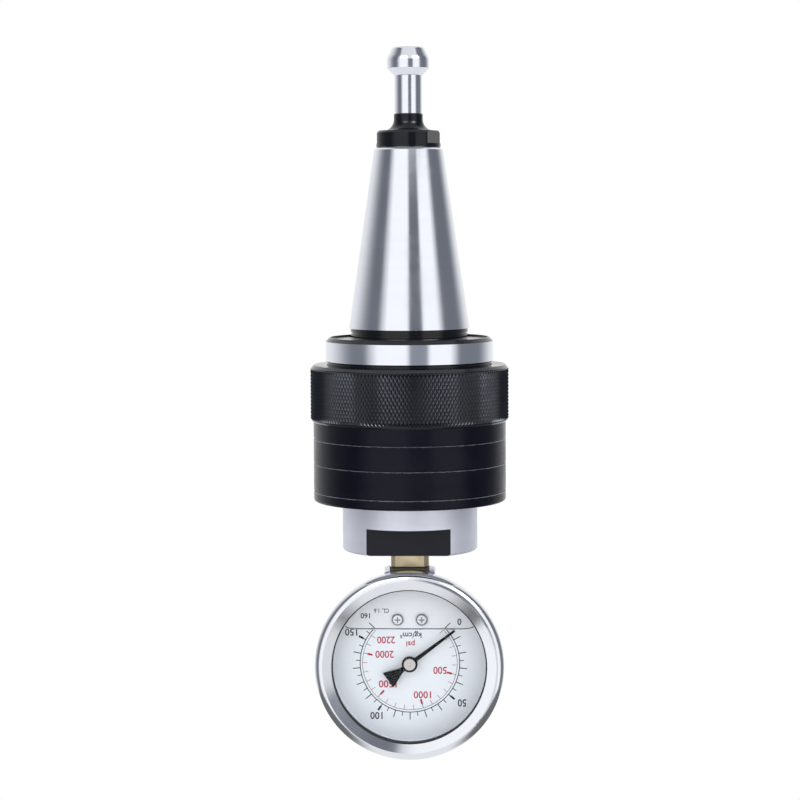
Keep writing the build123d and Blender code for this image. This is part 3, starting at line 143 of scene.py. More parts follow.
def level_with(height: float, slack: float) -> Test:
    """A test for what lies at one height, given in mm, or within a slack in metres of it."""
    return lambda points: all(abs(point.z - height * MM) < slack for point in points)


def extrude_along_depth(depth: float) -> None:
    """Extrudes the selected faces along the gauge's depth, by a distance in mm."""
    bpy.ops.mesh.extrude_region_move(TRANSFORM_OT_translate={"value": (0, depth * MM, 0)})


def close_and_smooth(piece: Piece, angle: float) -> None:
    """Merges a piece's doubles, turns its faces outwards and smooths the faces that meet at a low angle.

    Args:
        piece: the piece to finish.
        angle: the steepest angle, in degrees, that still looks round.
    """
    with opened(piece):
        bpy.ops.mesh.remove_doubles(threshold=SAME_PLACE)
        bpy.ops.mesh.normals_make_consistent(inside=False)
    bpy.ops.object.shade_smooth_by_angle(angle=radians(angle))


def settle(piece: Piece, name: str) -> Piece:
    """Puts a piece's place into its mesh and names it.

    Args:
        piece: the piece to settle.
        name: its name.

    Returns:
        The same piece.
    """
    hold(piece)
    bpy.ops.object.transform_apply(location=True, rotation=True, scale=True)
    piece.name = name
    piece.data.name = name
    return piece


def joined(pieces: Sequence[Piece]) -> Piece:
    """Joins several pieces into one.

    Args:
        pieces: the pieces.

    Returns:
        The first of them, which now holds them all.
    """
    hold(pieces[0])
    for piece in pieces[1:]:
        piece.select_set(True)
    bpy.ops.object.join()
    return pieces[0]


@dataclass
class Rim:
    """A round rim of edges, selected in edit mode, that is extruded into a turned shell."""

    radius: float  # mm
    height: float  # mm

    def grow(self, run: Sequence[tuple[float, float]]) -> None:
        """Extrudes the rim through a run of places.

        Args:
            run: the places, each a radius and a height in mm.
        """
        for radius, height in run:
            bpy.ops.mesh.extrude_edges_move(
                MESH_OT_extrude_edges_indiv={},
                TRANSFORM_OT_translate={"value": (0, 0, (height - self.height) * MM)},
            )
            scale = radius / self.radius
            bpy.ops.transform.resize(value=(scale, scale, 1), center_override=(0, 0, height * MM))
            self.radius, self.height = radius, height


# Shading


class Wiring:
    """Nodes and links of one material, world or node group."""

    def __init__(self, tree: bpy.types.NodeTree) -> None:
        """Starts with a tree's own nodes cleared away."""
        self.tree = tree
        self.tree.nodes.clear()

    @classmethod
    def of_material(cls, name: str) -> tuple[bpy.types.Material, "Wiring"]:
        """Makes a material.

        Args:
            name: the material's name.

        Returns:
            The material and its wiring, still empty.
        """
        material = bpy.data.materials.new(name)
        material.use_nodes = True
        return material, cls(material.node_tree)

    def add(self, kind: str, inputs: Optional[dict] = None, **settings: object) -> Node:
        """Adds a node.

        Args:
            kind: the node's type without its ShaderNode prefix, or a full type name.
            inputs: values or output sockets for its inputs, by name or number.
            **settings: the node's own settings.

        Returns:
            The new node.
        """
        node = self.tree.nodes.new(kind if kind.startswith("Node") else "ShaderNode" + kind)
        for name, value in settings.items():
            setattr(node, name, value)
        for key, value in (inputs or {}).items():
            if isinstance(value, Socket):
                self.tree.links.new(value, node.inputs[key])
            else:
                node.inputs[key].default_value = value
        return node

    def math(self, operation: str, *terms: Value, clamp: bool = False) -> Socket:
        """Adds a sum on numbers or sockets, held between 0 and 1 with clamp, and returns its socket."""
        node = self.add("Math", dict(enumerate(terms)), operation=operation, use_clamp=clamp)
        return node.outputs[0]

    def ramp(
        self, value: Socket, low: float, high: float, to_low: float = 0.0, to_high: float = 1.0
    ) -> Socket:
        """Adds a smooth change from one value to another.

        Args:
            value: the socket that is read.
            low: where the change starts.
            high: where it ends.
            to_low: the result up to low.
            to_high: the result from high on.

        Returns:
            The result's socket.
        """
        node = self.add(
            "MapRange",
            {"Value": value, "From Min": low, "From Max": high, "To Min": to_low, "To Max": to_high},
            interpolation_type="SMOOTHSTEP",
        )
        return node.outputs["Result"]

    def rise(self, value: Socket, place: float, soft: float) -> Socket:
        """Masks what is past a place, both in mm, or before it where soft is below 0."""
        return self.ramp(value, (place - soft) * MM, (place + soft) * MM)

    def between(self, value: Socket, low: float, high: float, soft: float) -> Socket:
        """Masks a stretch of the piece from low to high, in mm, with both ends soft."""
        return self.math("MULTIPLY", self.rise(value, high, -soft), self.rise(value, low, soft))

    def blend(self, factor: Value, first: Union[Socket, Colour], second: Union[Socket, Colour]) -> Socket:
        """Mixes two colours and returns the result's socket."""
        ends = [value if isinstance(value, Socket) else (*value, 1.0) for value in (first, second)]
        return self.add("Mix", {0: factor, 6: ends[0], 7: ends[1]}, data_type="RGBA").outputs[2]

    def blend_value(self, factor: Value, first: Value, second: Value) -> Socket:
        """Mixes two numbers and returns the result's socket."""
        return self.add("Mix", {0: factor, 2: first, 3: second}, data_type="FLOAT").outputs[0]

    def noise(self, vector: Socket, inputs: dict[str, Value], dimensions: str = "3D") -> Socket:
        """Adds a noise texture and returns its value's socket."""
        return self.add("TexNoise", {"Vector": vector, **inputs}, noise_dimensions=dimensions).outputs[0]

    def coordinates(self) -> Socket:
        """The piece's own coordinates."""
        return self.add("TexCoord").outputs["Object"]

    def part(self, vector: Socket, axis: str) -> Socket:
        """One of a vector's coordinates: X, Y or Z."""
        return self.add("SeparateXYZ", {0: vector}).outputs[axis]

    def dot(self, vector: Socket, direction: Place) -> Socket:
        """How far a vector reaches in a direction."""
        return self.add("VectorMath", {0: vector, 1: direction}, operation="DOT_PRODUCT").outputs["Value"]

    def radius(self, vector: Socket) -> Socket:
        """A vector's distance from the Z axis."""
        flat = self.add("VectorMath", {0: vector, 1: (1, 1, 0)}, operation="MULTIPLY")
        return self.add("VectorMath", {0: flat.outputs[0]}, operation="LENGTH").outputs["Value"]


@dataclass(frozen=True)
class Effect:
    """A node group that several finishes share, built at its first use."""

    name: str
    inputs: dict[str, float]  # beside the coordinates, each with its first value
    outputs: tuple[str, ...]
    wire: Callable[[Wiring, Node], tuple[Socket, ...]]

    def tree(self) -> bpy.types.ShaderNodeTree:
        """Finds the group, or builds it.

        Returns:
            The group.
        """
        group = bpy.data.node_groups.get(self.name)
        if group is not None:
            return group
        group = bpy.data.node_groups.new(self.name, "ShaderNodeTree")
        group.interface.new_socket("Vector", in_out="INPUT", socket_type="NodeSocketVector")
        for label, value in self.inputs.items():
            socket = group.interface.new_socket(label, in_out="INPUT", socket_type="NodeSocketFloat")
            socket.default_value = value
        for label in self.outputs:
            group.interface.new_socket(label, in_out="OUTPUT", socket_type="NodeSocketFloat")
        wiring = Wiring(group)
        results = self.wire(wiring, wiring.add("NodeGroupInput"))
        wiring.add("NodeGroupOutput", dict(zip(self.outputs, results)))
        return group

    def place(self, wiring: Wiring, vector: Socket, **values: float) -> Node:
        """Places the group in a material, with the material's own values, and returns its node."""
        return wiring.add("Group", {"Vector": vector, **values}, node_tree=self.tree())


def wire_tool_marks(wiring: Wiring, given: Node) -> tuple[Socket, ...]:
    """Wires the fine rings that a cutting or grinding tool leaves, and the slow change across them.

    Args:
        wiring: the group's wiring.
        given: the group's input node.

    Returns:
        The sockets of the fine rings and of the slow change.
    """
    vector, pitch = given.outputs["Vector"], given.outputs["Pitch"]
    across = wiring.math("DIVIDE", wiring.radius(vector), pitch)
    along = wiring.math("DIVIDE", wiring.part(vector, "Z"), pitch)
    rings = wiring.add("CombineXYZ", {"X": across, "Y": along}).outputs[0]
    fine = wiring.noise(rings, {"Scale": 1.0, "Detail": 2.0, "Roughness": 0.7}, "2D")
    return fine, wiring.noise(rings, {"Scale": 0.09, "Detail": 1.0}, "2D")


def wire_handling(wiring: Wiring, given: Node) -> tuple[Socket, ...]:
    """Wires the smudges that fingers and oil leave, and fine specks of dust or pits.

    Args:
        wiring: the group's wiring.
        given: the group's input node.

    Returns:
        The sockets of the smudges and of the specks.
    """
    vector = given.outputs["Vector"]
    shape = {"Scale": given.outputs["Scale"], "Detail": 4.0, "Roughness": 0.6, "Distortion": 0.6}
    smudge = wiring.ramp(wiring.noise(vector, shape), low=0.42, high=0.68)
    grain = wiring.add("TexVoronoi", {"Vector": vector, "Scale": 1700.0}, feature="F1")
    patch = wiring.noise(vector, {"Scale": 900.0, "Detail": 2.0})
    dots = wiring.ramp(grain.outputs["Distance"], low=0.16, high=0.05)
    return smudge, wiring.math("MULTIPLY", dots, wiring.ramp(patch, low=0.56, high=0.66))


def wire_painted_highlight_ring(wiring: Wiring, given: Node) -> tuple[Socket, ...]:
    """Wires a painted highlight along a round edge, at one radius and height, with a ragged width.

    Args:
        wiring: the group's wiring.
        given: the group's input node.

    Returns:
        The socket of the painted highlight.
    """
    vector = given.outputs["Vector"]
    out = wiring.math("SUBTRACT", wiring.radius(vector), given.outputs["Radius"])
    up = wiring.math("SUBTRACT", wiring.part(vector, "Z"), given.outputs["Height"])
    squares = (wiring.math("POWER", side, 2.0) for side in (out, up))
    away = wiring.math("SQRT", wiring.math("ADD", *squares))
    ragged = wiring.noise(vector, {"Scale": 420.0, "Detail": 3.0})
    uneven = wiring.ramp(ragged, low=0.35, high=0.7, to_low=0.7, to_high=1.3)
    reach = wiring.math("MULTIPLY", given.outputs["Width"], uneven)
    return (wiring.math("SUBTRACT", 1.0, wiring.math("DIVIDE", away, reach), clamp=True),)


TOOL_MARKS = Effect("tool_marks", {"Pitch": 0.0004}, ("Fine", "Broad"), wire_tool_marks)
HANDLING = Effect("handling", {"Scale": 60.0}, ("Smudge", "Speck"), wire_handling)
# a painted highlight along one round edge, where it catches the light
PAINTED_HIGHLIGHT_RING = Effect("painted_highlight_ring", {"Radius": 0.03, "Height": 0.0, "Width": 0.0006}, ("Highlight",), wire_painted_highlight_ring)


@dataclass(frozen=True)
class Coat:
    """One surface state of a material: its colour, gloss and the marks on it."""

    colour: Colour
    roughness: float
    metallic: float = 1.0
    shade: float = 0.1  # how far the colour changes along the tool marks
    smudge: float = 0.08  # how far smudges roughen it
    stain: Colour = (0.5, 0.5, 0.5)
    stain_amount: float = 0.06


@dataclass(frozen=True)
class PaintedHighlightRing:
    """A round edge with a painted highlight, as a radius, height and width in mm."""

    radius: float
    height: float
    width: float


@dataclass(frozen=True)
class Finish:
    """A procedural material for one of the meter's surfaces."""

    name: str
    coat: Coat
    pitch: float = 0.35  # mm between tool marks
    depth: float = 0.0006  # mm of relief that they show
    speck_depth: float = 0.0  # mm of the fine pits
    specular: float = 0.5
    tint: Colour = (1.0, 1.0, 1.0)  # of the clear part of the gloss
    anisotropic: float = 0.0
    axis: TurningAxis = TurningAxis.SPINDLE
    smudge_scale: float = 60.0
    # round edges that get a painted highlight, in the colour below
    edges: tuple[PaintedHighlightRing, ...] = ()
    highlight_colour: Colour = (0.24, 0.25, 0.28)
    second: Optional[Coat] = None  # the coat of another part of the piece
    top: float = 0.0  # mm, where the second coat starts
    bottom: float = 0.0  # mm, where it ends
    soft: float = 0.03  # mm, half of what the change between the coats takes

    def place(self, wiring: Wiring) -> Socket:
        """Centres the pattern on the axis that the piece was turned about.

        Args:
            wiring: the material's wiring.

        Returns:
            The coordinates' socket, with Z along the turning axis.
        """
        coordinates = wiring.coordinates()
        if self.axis is TurningAxis.SPINDLE:
            return coordinates
        centre = (0, 0, GAUGE_HEIGHT * MM)
        turned = {"Vector": coordinates, "Location": centre, "Rotation": TO_FRONT}
        return wiring.add("Mapping", turned, vector_type="TEXTURE").outputs[0]

    def mask(self, wiring: Wiring, vector: Socket) -> Socket:
        """Masks the stretch of the piece's length that has the second coat."""
        return wiring.between(wiring.part(vector, "Z"), self.bottom, self.top, self.soft)

    def dress(self, wiring: Wiring, coat: Coat, marks: Node, hands: Node) -> tuple[Socket, Socket, Value]:
        """Works out a coat's colour, roughness and metal share over the surface.

        Args:
            wiring: the material's wiring.
            coat: the surface state.
            marks: the tool marks' group node.
            hands: the handling's group node.

        Returns:
            The colour and the roughness as sockets, and the metal share.
        """
        darker = tuple(channel * (1 - coat.shade) for channel in coat.colour)
        lighter = tuple(min(1.0, channel * (1 + coat.shade)) for channel in coat.colour)
        colour = wiring.blend(marks.outputs["Broad"], darker, lighter)
        stained = wiring.math("MULTIPLY", hands.outputs["Smudge"], coat.stain_amount)
        colour = wiring.blend(stained, colour, coat.stain)
        uneven = wiring.math("MULTIPLY", hands.outputs["Smudge"], coat.smudge)
        lined = wiring.math("MULTIPLY", marks.outputs["Fine"], coat.smudge / 2)
        roughness = wiring.math("ADD", coat.roughness, wiring.math("ADD", uneven, lined), clamp=True)
        return colour, roughness, coat.metallic

    def relief(self, wiring: Wiring, marks: Node, hands: Node) -> Socket:
        """Raises the tool marks and sinks the pits.

        Args:
            wiring: the material's wiring.
            marks: the tool marks' group node.
            hands: the handling's group node.

        Returns:
            The normal's socket.
        """
        lines = {"Height": marks.outputs["Fine"], "Strength": 1.0, "Distance": self.depth * MM}
        lined = wiring.add("Bump", lines).outputs[0]
        if not self.speck_depth:
            return lined
        pits = {"Height": hands.outputs["Speck"], "Strength": 1.0, "Distance": self.speck_depth * MM}
        return wiring.add("Bump", {**pits, "Normal": lined}, invert=True).outputs[0]

    def make(self) -> bpy.types.Material:
        """Builds the material.

        Returns:
            The new material.
        """
        material, wiring = Wiring.of_material(self.name)
        vector = self.place(wiring)
        marks = TOOL_MARKS.place(wiring, vector, Pitch=self.pitch * MM)
        hands = HANDLING.place(wiring, vector, Scale=self.smudge_scale)
        colour, roughness, metallic = self.dress(wiring, self.coat, marks, hands)
        if self.second is not None:
            mask = self.mask(wiring, vector)
            other_colour, other_roughness, other_metallic = self.dress(wiring, self.second, marks, hands)
            colour = wiring.blend(mask, colour, other_colour)
            roughness = wiring.blend_value(mask, roughness, other_roughness)
            metallic = wiring.blend_value(mask, metallic, other_metallic)
        # paints a highlight along each of the edges
        for edge in self.edges:
            sizes = {"Radius": edge.radius * MM, "Height": edge.height * MM, "Width": edge.width * MM}
            painted_highlight = PAINTED_HIGHLIGHT_RING.place(wiring, vector, **sizes).outputs["Highlight"]
            colour = wiring.blend(painted_highlight, colour, self.highlight_colour)
            metallic = wiring.blend_value(painted_highlight, metallic, 1.0)
        shader = wiring.add(
            "BsdfPrincipled",
            {
                "Base Color": colour,
                "Roughness": roughness,
                "Metallic": metallic,
                "Normal": self.relief(wiring, marks, hands),
                "Specular IOR Level": self.specular,
                "Specular Tint": (*self.tint, 1.0),
                "Anisotropic": self.anisotropic,
            },
        )
        if self.anisotropic:
            axis = "Z" if self.axis is TurningAxis.SPINDLE else "Y"
            tangent = wiring.add("Tangent", direction_type="RADIAL", axis=axis)
            wiring.tree.links.new(tangent.outputs[0], shader.inputs["Tangent"])
        wiring.add("OutputMaterial", {"Surface": shader.outputs[0]})
        return material


@dataclass(frozen=True)
class StudFinish(Finish):
    """The stud's finish: polished, with a duller cone under the head and a black foot."""

    cone: Coat = Coat((0.74, 0.76, 0.83), 0.5, metallic=0.2)
    cone_top: float = 94.6
    cone_bottom: float = 92.0
    cone_soft: float = 0.05

    def dress(self, wiring: Wiring, coat: Coat, marks: Node, hands: Node) -> tuple[Socket, Socket, Value]:
        """Works out a coat's colour, roughness and metal share, and dulls the cone.

        Args:
            wiring: the material's wiring.
            coat: the surface state.
            marks: the tool marks' group node.
            hands: the handling's group node.

        Returns:
            The three sockets, in that order.
        """
        colour, roughness, metallic = super().dress(wiring, coat, marks, hands)
        height = wiring.part(self.place(wiring), "Z")
        dull = wiring.between(height, self.cone_bottom, self.cone_top, self.cone_soft)
        return (
            wiring.blend(dull, colour, self.cone.colour),
            wiring.blend_value(dull, roughness, self.cone.roughness),
            wiring.blend_value(dull, metallic, self.cone.metallic),
        )


@dataclass(frozen=True)
class ShankFinish(Finish):
    """The shank's finish: ground taper and flange band, with black neck, flange faces and skirt."""

    band_radius: float = 31.19  # mm, a little inside the ground band round the flange
    band_top: float = -6.415
    band_bottom: float = -13.715
    band_soft: float = 0.035
    rim_soft: float = 0.02
    bore_radius: float = 20.1  # mm, up to it the skirt's inside stays bright
    bore_soft: float = 0.1

    def mask(self, wiring: Wiring, vector: Socket) -> Socket:
        """Masks all that is below the taper, apart from the flange's ground band and the bore.

        Args:
            wiring: the material's wiring.
            vector: the coordinates' socket.

        Returns:
            The mask's socket.
        """
        height, radius = wiring.part(vector, "Z"), wiring.radius(vector)
        on_rim = wiring.rise(radius, self.band_radius, self.rim_soft)
        level = wiring.between(height, self.band_bottom, self.band_top, self.band_soft)
        band = wiring.math("MULTIPLY", on_rim, level)
        below = wiring.rise(height, self.top, -self.soft)
        black = wiring.math("MULTIPLY", below, wiring.math("SUBTRACT", 1.0, band))
        return wiring.math("MULTIPLY", black, wiring.rise(radius, self.bore_radius, self.bore_soft))


@dataclass(frozen=True)
class BaseFinish(Finish):
    """The base's finish: ground steel with two black spanner flats."""

    flat_reach: float = 19.925  # mm from the axis, a little inside a flat
    flat_soft: float = 0.045

    def mask(self, wiring: Wiring, vector: Socket) -> Socket:
        """Masks the two flats.

        Args:
            wiring: the material's wiring.
            vector: the coordinates' socket.

        Returns:
            The mask's socket.
        """
        below = wiring.rise(wiring.part(vector, "Z"), self.top, -self.soft)
        reach = wiring.math("ABSOLUTE", wiring.part(vector, "Y"))
        return wiring.math("MULTIPLY", below, wiring.rise(reach, self.flat_reach, self.flat_soft))


@dataclass(frozen=True)
class CaseFinish(Finish):
    """The gauge case's finish: bright steel, with painted shade along the saddle's front edge round the
    stem.
    """

    half_width: float = 7.4  # mm to either side, of the part with painted shade

    def mask(self, wiring: Wiring, vector: Socket) -> Socket:
        """Masks the saddle's upper edge round the stem.

        Args:
            wiring: the material's wiring.
            vector: the coordinates' socket, with Y up from the dial's centre.

        Returns:
            The mask's socket.
        """
        over = wiring.rise(wiring.part(vector, "Y"), self.bottom, self.soft)
        aside = wiring.math("ABSOLUTE", wiring.part(vector, "X"))
        return wiring.math("MULTIPLY", over, wiring.rise(aside, self.half_width, -self.soft))


@dataclass(frozen=True)
class ScrewFinish(Finish):
    """The dial screws' finish: bright steel heads, with painted shade round each rim and a cross of painted
    shade for the slots.
    """

    half_span: float = 4.5  # mm from the middle to a screw
    rise: float = 16.4  # mm from the dial's centre up to the screws
    rim: float = 1.65  # mm from a screw's middle, where the painted shade of its rim starts
    rim_soft: float = 0.4
    slot: float = 0.3  # half of a slot's width, in mm
    slot_reach: float = 1.1  # half of a slot's length, in mm

    def place(self, wiring: Wiring) -> Socket:
        """Centres the pattern on the nearer screw.

        Args:
            wiring: the material's wiring.

        Returns:
            The coordinates' socket, with Z along the screw.
        """
        vector = super().place(wiring)
        either = wiring.math("ABSOLUTE", wiring.part(vector, "X"))
        aside = wiring.math("SUBTRACT", either, self.half_span * MM)
        above = wiring.math("SUBTRACT", wiring.part(vector, "Y"), self.rise * MM)
        return wiring.add("CombineXYZ", {"X": aside, "Y": above, "Z": wiring.part(vector, "Z")}).outputs[0]

    def mask(self, wiring: Wiring, vector: Socket) -> Socket:
        """Masks each screw's rim and its two slots, which get painted shade.

        Args:
            wiring: the material's wiring.
            vector: the coordinates' socket.

        Returns:
            The mask's socket.
        """
        radius = wiring.radius(vector)
        mask = wiring.rise(radius, self.rim, self.rim_soft)
        inside = wiring.math("LESS_THAN", radius, self.slot_reach * MM)
        for way in ("X", "Y"):
            aside = wiring.math("ABSOLUTE", wiring.part(vector, way))
            slot = wiring.rise(aside, self.slot, -self.soft)
            mask = wiring.math("MAXIMUM", mask, wiring.math("MULTIPLY", slot, inside))
        return mask


@dataclass(frozen=True)
class GlassFinish:
    """A clear finish, which lamps and soft light also pass through."""

    name: str
    colour: Colour
    ior: float = 1.13
    smudge_scale: float = 45.0
    film: float = 0.012  # how far smudges roughen it

    def make(self) -> bpy.types.Material:
        """Builds the material.

        Returns:
            The new material.
        """
        material, wiring = Wiring.of_material(self.name)
        hands = HANDLING.place(wiring, wiring.coordinates(), Scale=self.smudge_scale)
        glass = wiring.add(
            "BsdfPrincipled",
            {
                "Roughness": wiring.math("MULTIPLY", hands.outputs["Smudge"], self.film),
                "Base Color": (*self.colour, 1.0),
                "IOR": self.ior,
                "Transmission Weight": 1.0,
            },
        )
        clear = wiring.add("BsdfTransparent", {"Color": (*self.colour, 1.0)})
        path = wiring.add("LightPath")
        passing = wiring.math("MAXIMUM", path.outputs["Is Shadow Ray"], path.outputs["Is Diffuse Ray"])
        mixed = wiring.add("MixShader", {0: passing, 1: glass.outputs[0], 2: clear.outputs[0]})
        wiring.add("OutputMaterial", {"Surface": mixed.outputs[0]})
        return material


AnyFinish = Union[Finish, GlassFinish]

GROUND = Coat((0.7, 0.72, 0.78), 0.1, shade=0.02, smudge=0.04, stain=(0.52, 0.53, 0.56))
BLACKENED = Coat(
    (0.004, 0.0045, 0.008),
    0.08,
    metallic=0.0,
    shade=0.2,
    smudge=0.06,
    stain=(0.012, 0.012, 0.015),
    stain_amount=0.2,
)
# the grooves' lower lips, which catch the light and get a painted highlight
GROOVE_LIP_RADIUS = 35.87  # mm
GROOVE_LIP_HEIGHTS = (-42.93, -52.13, -62.53)  # mm
GROOVE_LIP_WIDTH = 0.26  # mm

STEELS = (
    ShankFinish(
        "ground_steel",
        GROUND,
        pitch=0.22,
        depth=0.0004,
        specular=0.3,
        anisotropic=0.6,
        second=BLACKENED,
        top=-1.6,
    ),
    StudFinish(
        "polished_steel",
        GROUND,
        pitch=0.25,
        depth=0.0004,
        specular=0.25,
        anisotropic=0.4,
        second=BLACKENED,
        top=77.9,
        bottom=20.0,
    ),
    Finish("rod_steel", Coat((0.55, 0.55, 0.54), 0.15), anisotropic=0.5),
    Finish("black_oxide", replace(BLACKENED, roughness=0.11), speck_depth=0.001, tint=(0.88, 0.92, 1.0)),
    Finish(
        "satin_black",
        Coat(
            (0.0022, 0.0024, 0.0065),
            0.2,
            metallic=0.0,
            shade=0.2,
            stain=(0.006, 0.0065, 0.009),
            stain_amount=0.3,
        ),
        pitch=0.3,
        depth=0.0005,
        specular=0.15,
        tint=(0.82, 0.86, 1.0),
        # painted highlights along the grooves' lower lips
        edges=tuple(PaintedHighlightRing(GROOVE_LIP_RADIUS, height, GROOVE_LIP_WIDTH) for height in GROOVE_LIP_HEIGHTS),
    ),
    BaseFinish(
        "base_steel",
        Coat(
            (0.64, 0.66, 0.74),
            0.4,
            metallic=0.7,
            shade=0.03,
            smudge=0.06,
            stain=(0.5, 0.51, 0.54),
            stain_amount=0.1,
        ),
        depth=0.001,
        specular=0.2,
        anisotropic=0.3,
        second=Coat(
            (0.006, 0.0065, 0.012),
            0.22,
            metallic=0.0,
            smudge=0.03,
            stain=(0.012, 0.012, 0.016),
            stain_amount=0.2,
        ),
        top=-74.735,
        soft=0.035,
    ),
    Finish("spring_steel", Coat((0.09, 0.088, 0.085), 0.35, metallic=0.8)),
    Finish("pin_steel", Coat((0.5, 0.5, 0.49), 0.2)),
    Finish("gland_steel", Coat((0.4, 0.4, 0.39), 0.3, shade=0.12), pitch=0.4, depth=0.001, anisotropic=0.4),
    Finish("bleed_steel", Coat((0.3, 0.3, 0.29), 0.32)),
    CaseFinish(
        "case_steel",
        Coat((0.66, 0.67, 0.71), 0.2, shade=0.03, stain=(0.5, 0.5, 0.52), stain_amount=0.1),
        pitch=0.5,
        depth=0.0008,
        axis=TurningAxis.GAUGE,
        # painted shade along the saddle's edge round the stem
        second=Coat((0.1, 0.082, 0.06), 0.35, metallic=0.6, stain=(0.16, 0.13, 0.1)),
        bottom=34.2,
        soft=0.1,
    ),
    Finish(
        "bezel_steel",
        Coat((0.67, 0.69, 0.73), 0.1, shade=0.02, smudge=0.05, stain=(0.56, 0.57, 0.6)),
        pitch=0.4,
        depth=0.0005,
        axis=TurningAxis.GAUGE,
    ),
    ScrewFinish(
        "screw_steel",
        Coat((0.72, 0.73, 0.77), 0.12),
        pitch=0.2,
        depth=0.0005,
        axis=TurningAxis.GAUGE,
        # painted shade for the heads' rims and slots
        second=Coat((0.26, 0.27, 0.3), 0.2, metallic=0.9),
        soft=0.04,
    ),
    Finish("movement_steel", Coat((0.52, 0.52, 0.5), 0.2), pitch=0.2, axis=TurningAxis.GAUGE),
)

OTHER_METALS = (
    Finish("bronze", Coat((0.5, 0.31, 0.13), 0.3, shade=0.12)),
    Finish("copper_washer", Coat((0.62, 0.3, 0.19), 0.3)),
    Finish(
        "stem_brass",
        Coat((0.64, 0.545, 0.36), 0.3, shade=0.05, smudge=0.14, stain=(0.36, 0.3, 0.18), stain_amount=0.25),
        pitch=0.5,
        depth=0.0015,
        smudge_scale=160.0,
        # painted shade on the stem's lower end, where it enters the saddle
        second=Coat((0.07, 0.052, 0.025), 0.35, metallic=0.6, stain=(0.1, 0.08, 0.05)),
        top=-90.6,
        bottom=-110.0,
    ),
    Finish("movement_brass", Coat((0.66, 0.49, 0.22), 0.24, shade=0.08), pitch=0.3, axis=TurningAxis.GAUGE),
    Finish(
        "hub_alloy",
        Coat((0.56, 0.5, 0.49), 0.3, metallic=0.7, shade=0.05),
        pitch=0.2,
        axis=TurningAxis.GAUGE,
    ),
    Finish("spring_bronze", Coat((0.55, 0.36, 0.16), 0.28), axis=TurningAxis.GAUGE),
    Finish("tube_bronze", Coat((0.56, 0.37, 0.17), 0.3), axis=TurningAxis.GAUGE),
)

SOFT_AND_PAINTED = (
    Finish(
        "seal_rubber",
        Coat(
            (0.012, 0.012, 0.013),
            0.55,
            metallic=0.0,
            smudge=0.12,
            stain=(0.05, 0.05, 0.05),
            stain_amount=0.3,
        ),
    ),
    Finish("backup_plastic", Coat((0.62, 0.58, 0.48), 0.4, metallic=0.0)),
    Finish(
        "dial_white",
        Coat(
            (0.79, 0.805, 0.855),
            0.38,
            metallic=0.0,
            shade=0.006,
            smudge=0.05,
            stain=(0.74, 0.76, 0.82),
            stain_amount=0.15,
        ),
        depth=0.0001,
        axis=TurningAxis.GAUGE,
        specular=0.3,
    ),
    Finish(
        "pointer_black",
        Coat(
            (0.003, 0.0045, 0.006),
            0.35,
            metallic=0.0,
            shade=0.05,
            smudge=0.03,
            stain=(0.006, 0.008, 0.01),
        ),
        depth=0.0001,
        axis=TurningAxis.GAUGE,
        specular=0.1,
    ),
    GlassFinish("window_glass", (0.99, 0.995, 0.995)),
)

FINISHES: dict[str, AnyFinish] = {finish.name: finish for finish in STEELS + OTHER_METALS + SOFT_AND_PAINTED}

SCALE_BLACK = Finish(
    "scale_black", Coat((0.008, 0.009, 0.012), 0.45, metallic=0.0), axis=TurningAxis.GAUGE, specular=0.1
)
SCALE_RED = Finish(
    "scale_red",
    Coat((0.46, 0.03, 0.075), 0.45, metallic=0.0, shade=0.06, stain=(0.5, 0.06, 0.1), stain_amount=0.15),
    axis=TurningAxis.GAUGE,
    specular=0.1,
)
# painted shade: the dark line that the liquid's raised edge shows
MENISCUS_SHADE = Finish(
    "meniscus_shade", Coat((0.1, 0.11, 0.135), 0.3, metallic=0.0), axis=TurningAxis.GAUGE, specular=0.2
)
DAMPING_LIQUID = GlassFinish("damping_liquid", (0.985, 0.992, 0.995))


@dataclass
class Wardrobe:
    """Makes each material once, and gives every CAD node the one of its slot."""

    made: dict[str, bpy.types.Material] = field(default_factory=dict)

    def put_on(self, piece: Piece, finish: AnyFinish) -> None:
        """Gives a piece one material all over.

        Args:
            piece: the piece.
            finish: its finish.
        """
        if finish.name not in self.made:
            self.made[finish.name] = finish.make()
        piece.data.materials.clear()
        piece.data.materials.append(self.made[finish.name])
        for face in piece.data.polygons:
            face.material_index = 0

    def dress_nodes(self) -> int:
        """Dresses every CAD node.

        Returns:
            How many nodes there are.
        """
        slots = {entry["node"]: entry["material_slot"] for entry in frame["record"]["subparts"]}
        for name, node in frame["nodes"].items():
            self.put_on(node, FINISHES[slots[name]])
        return len(slots)


# Sub-assemblies


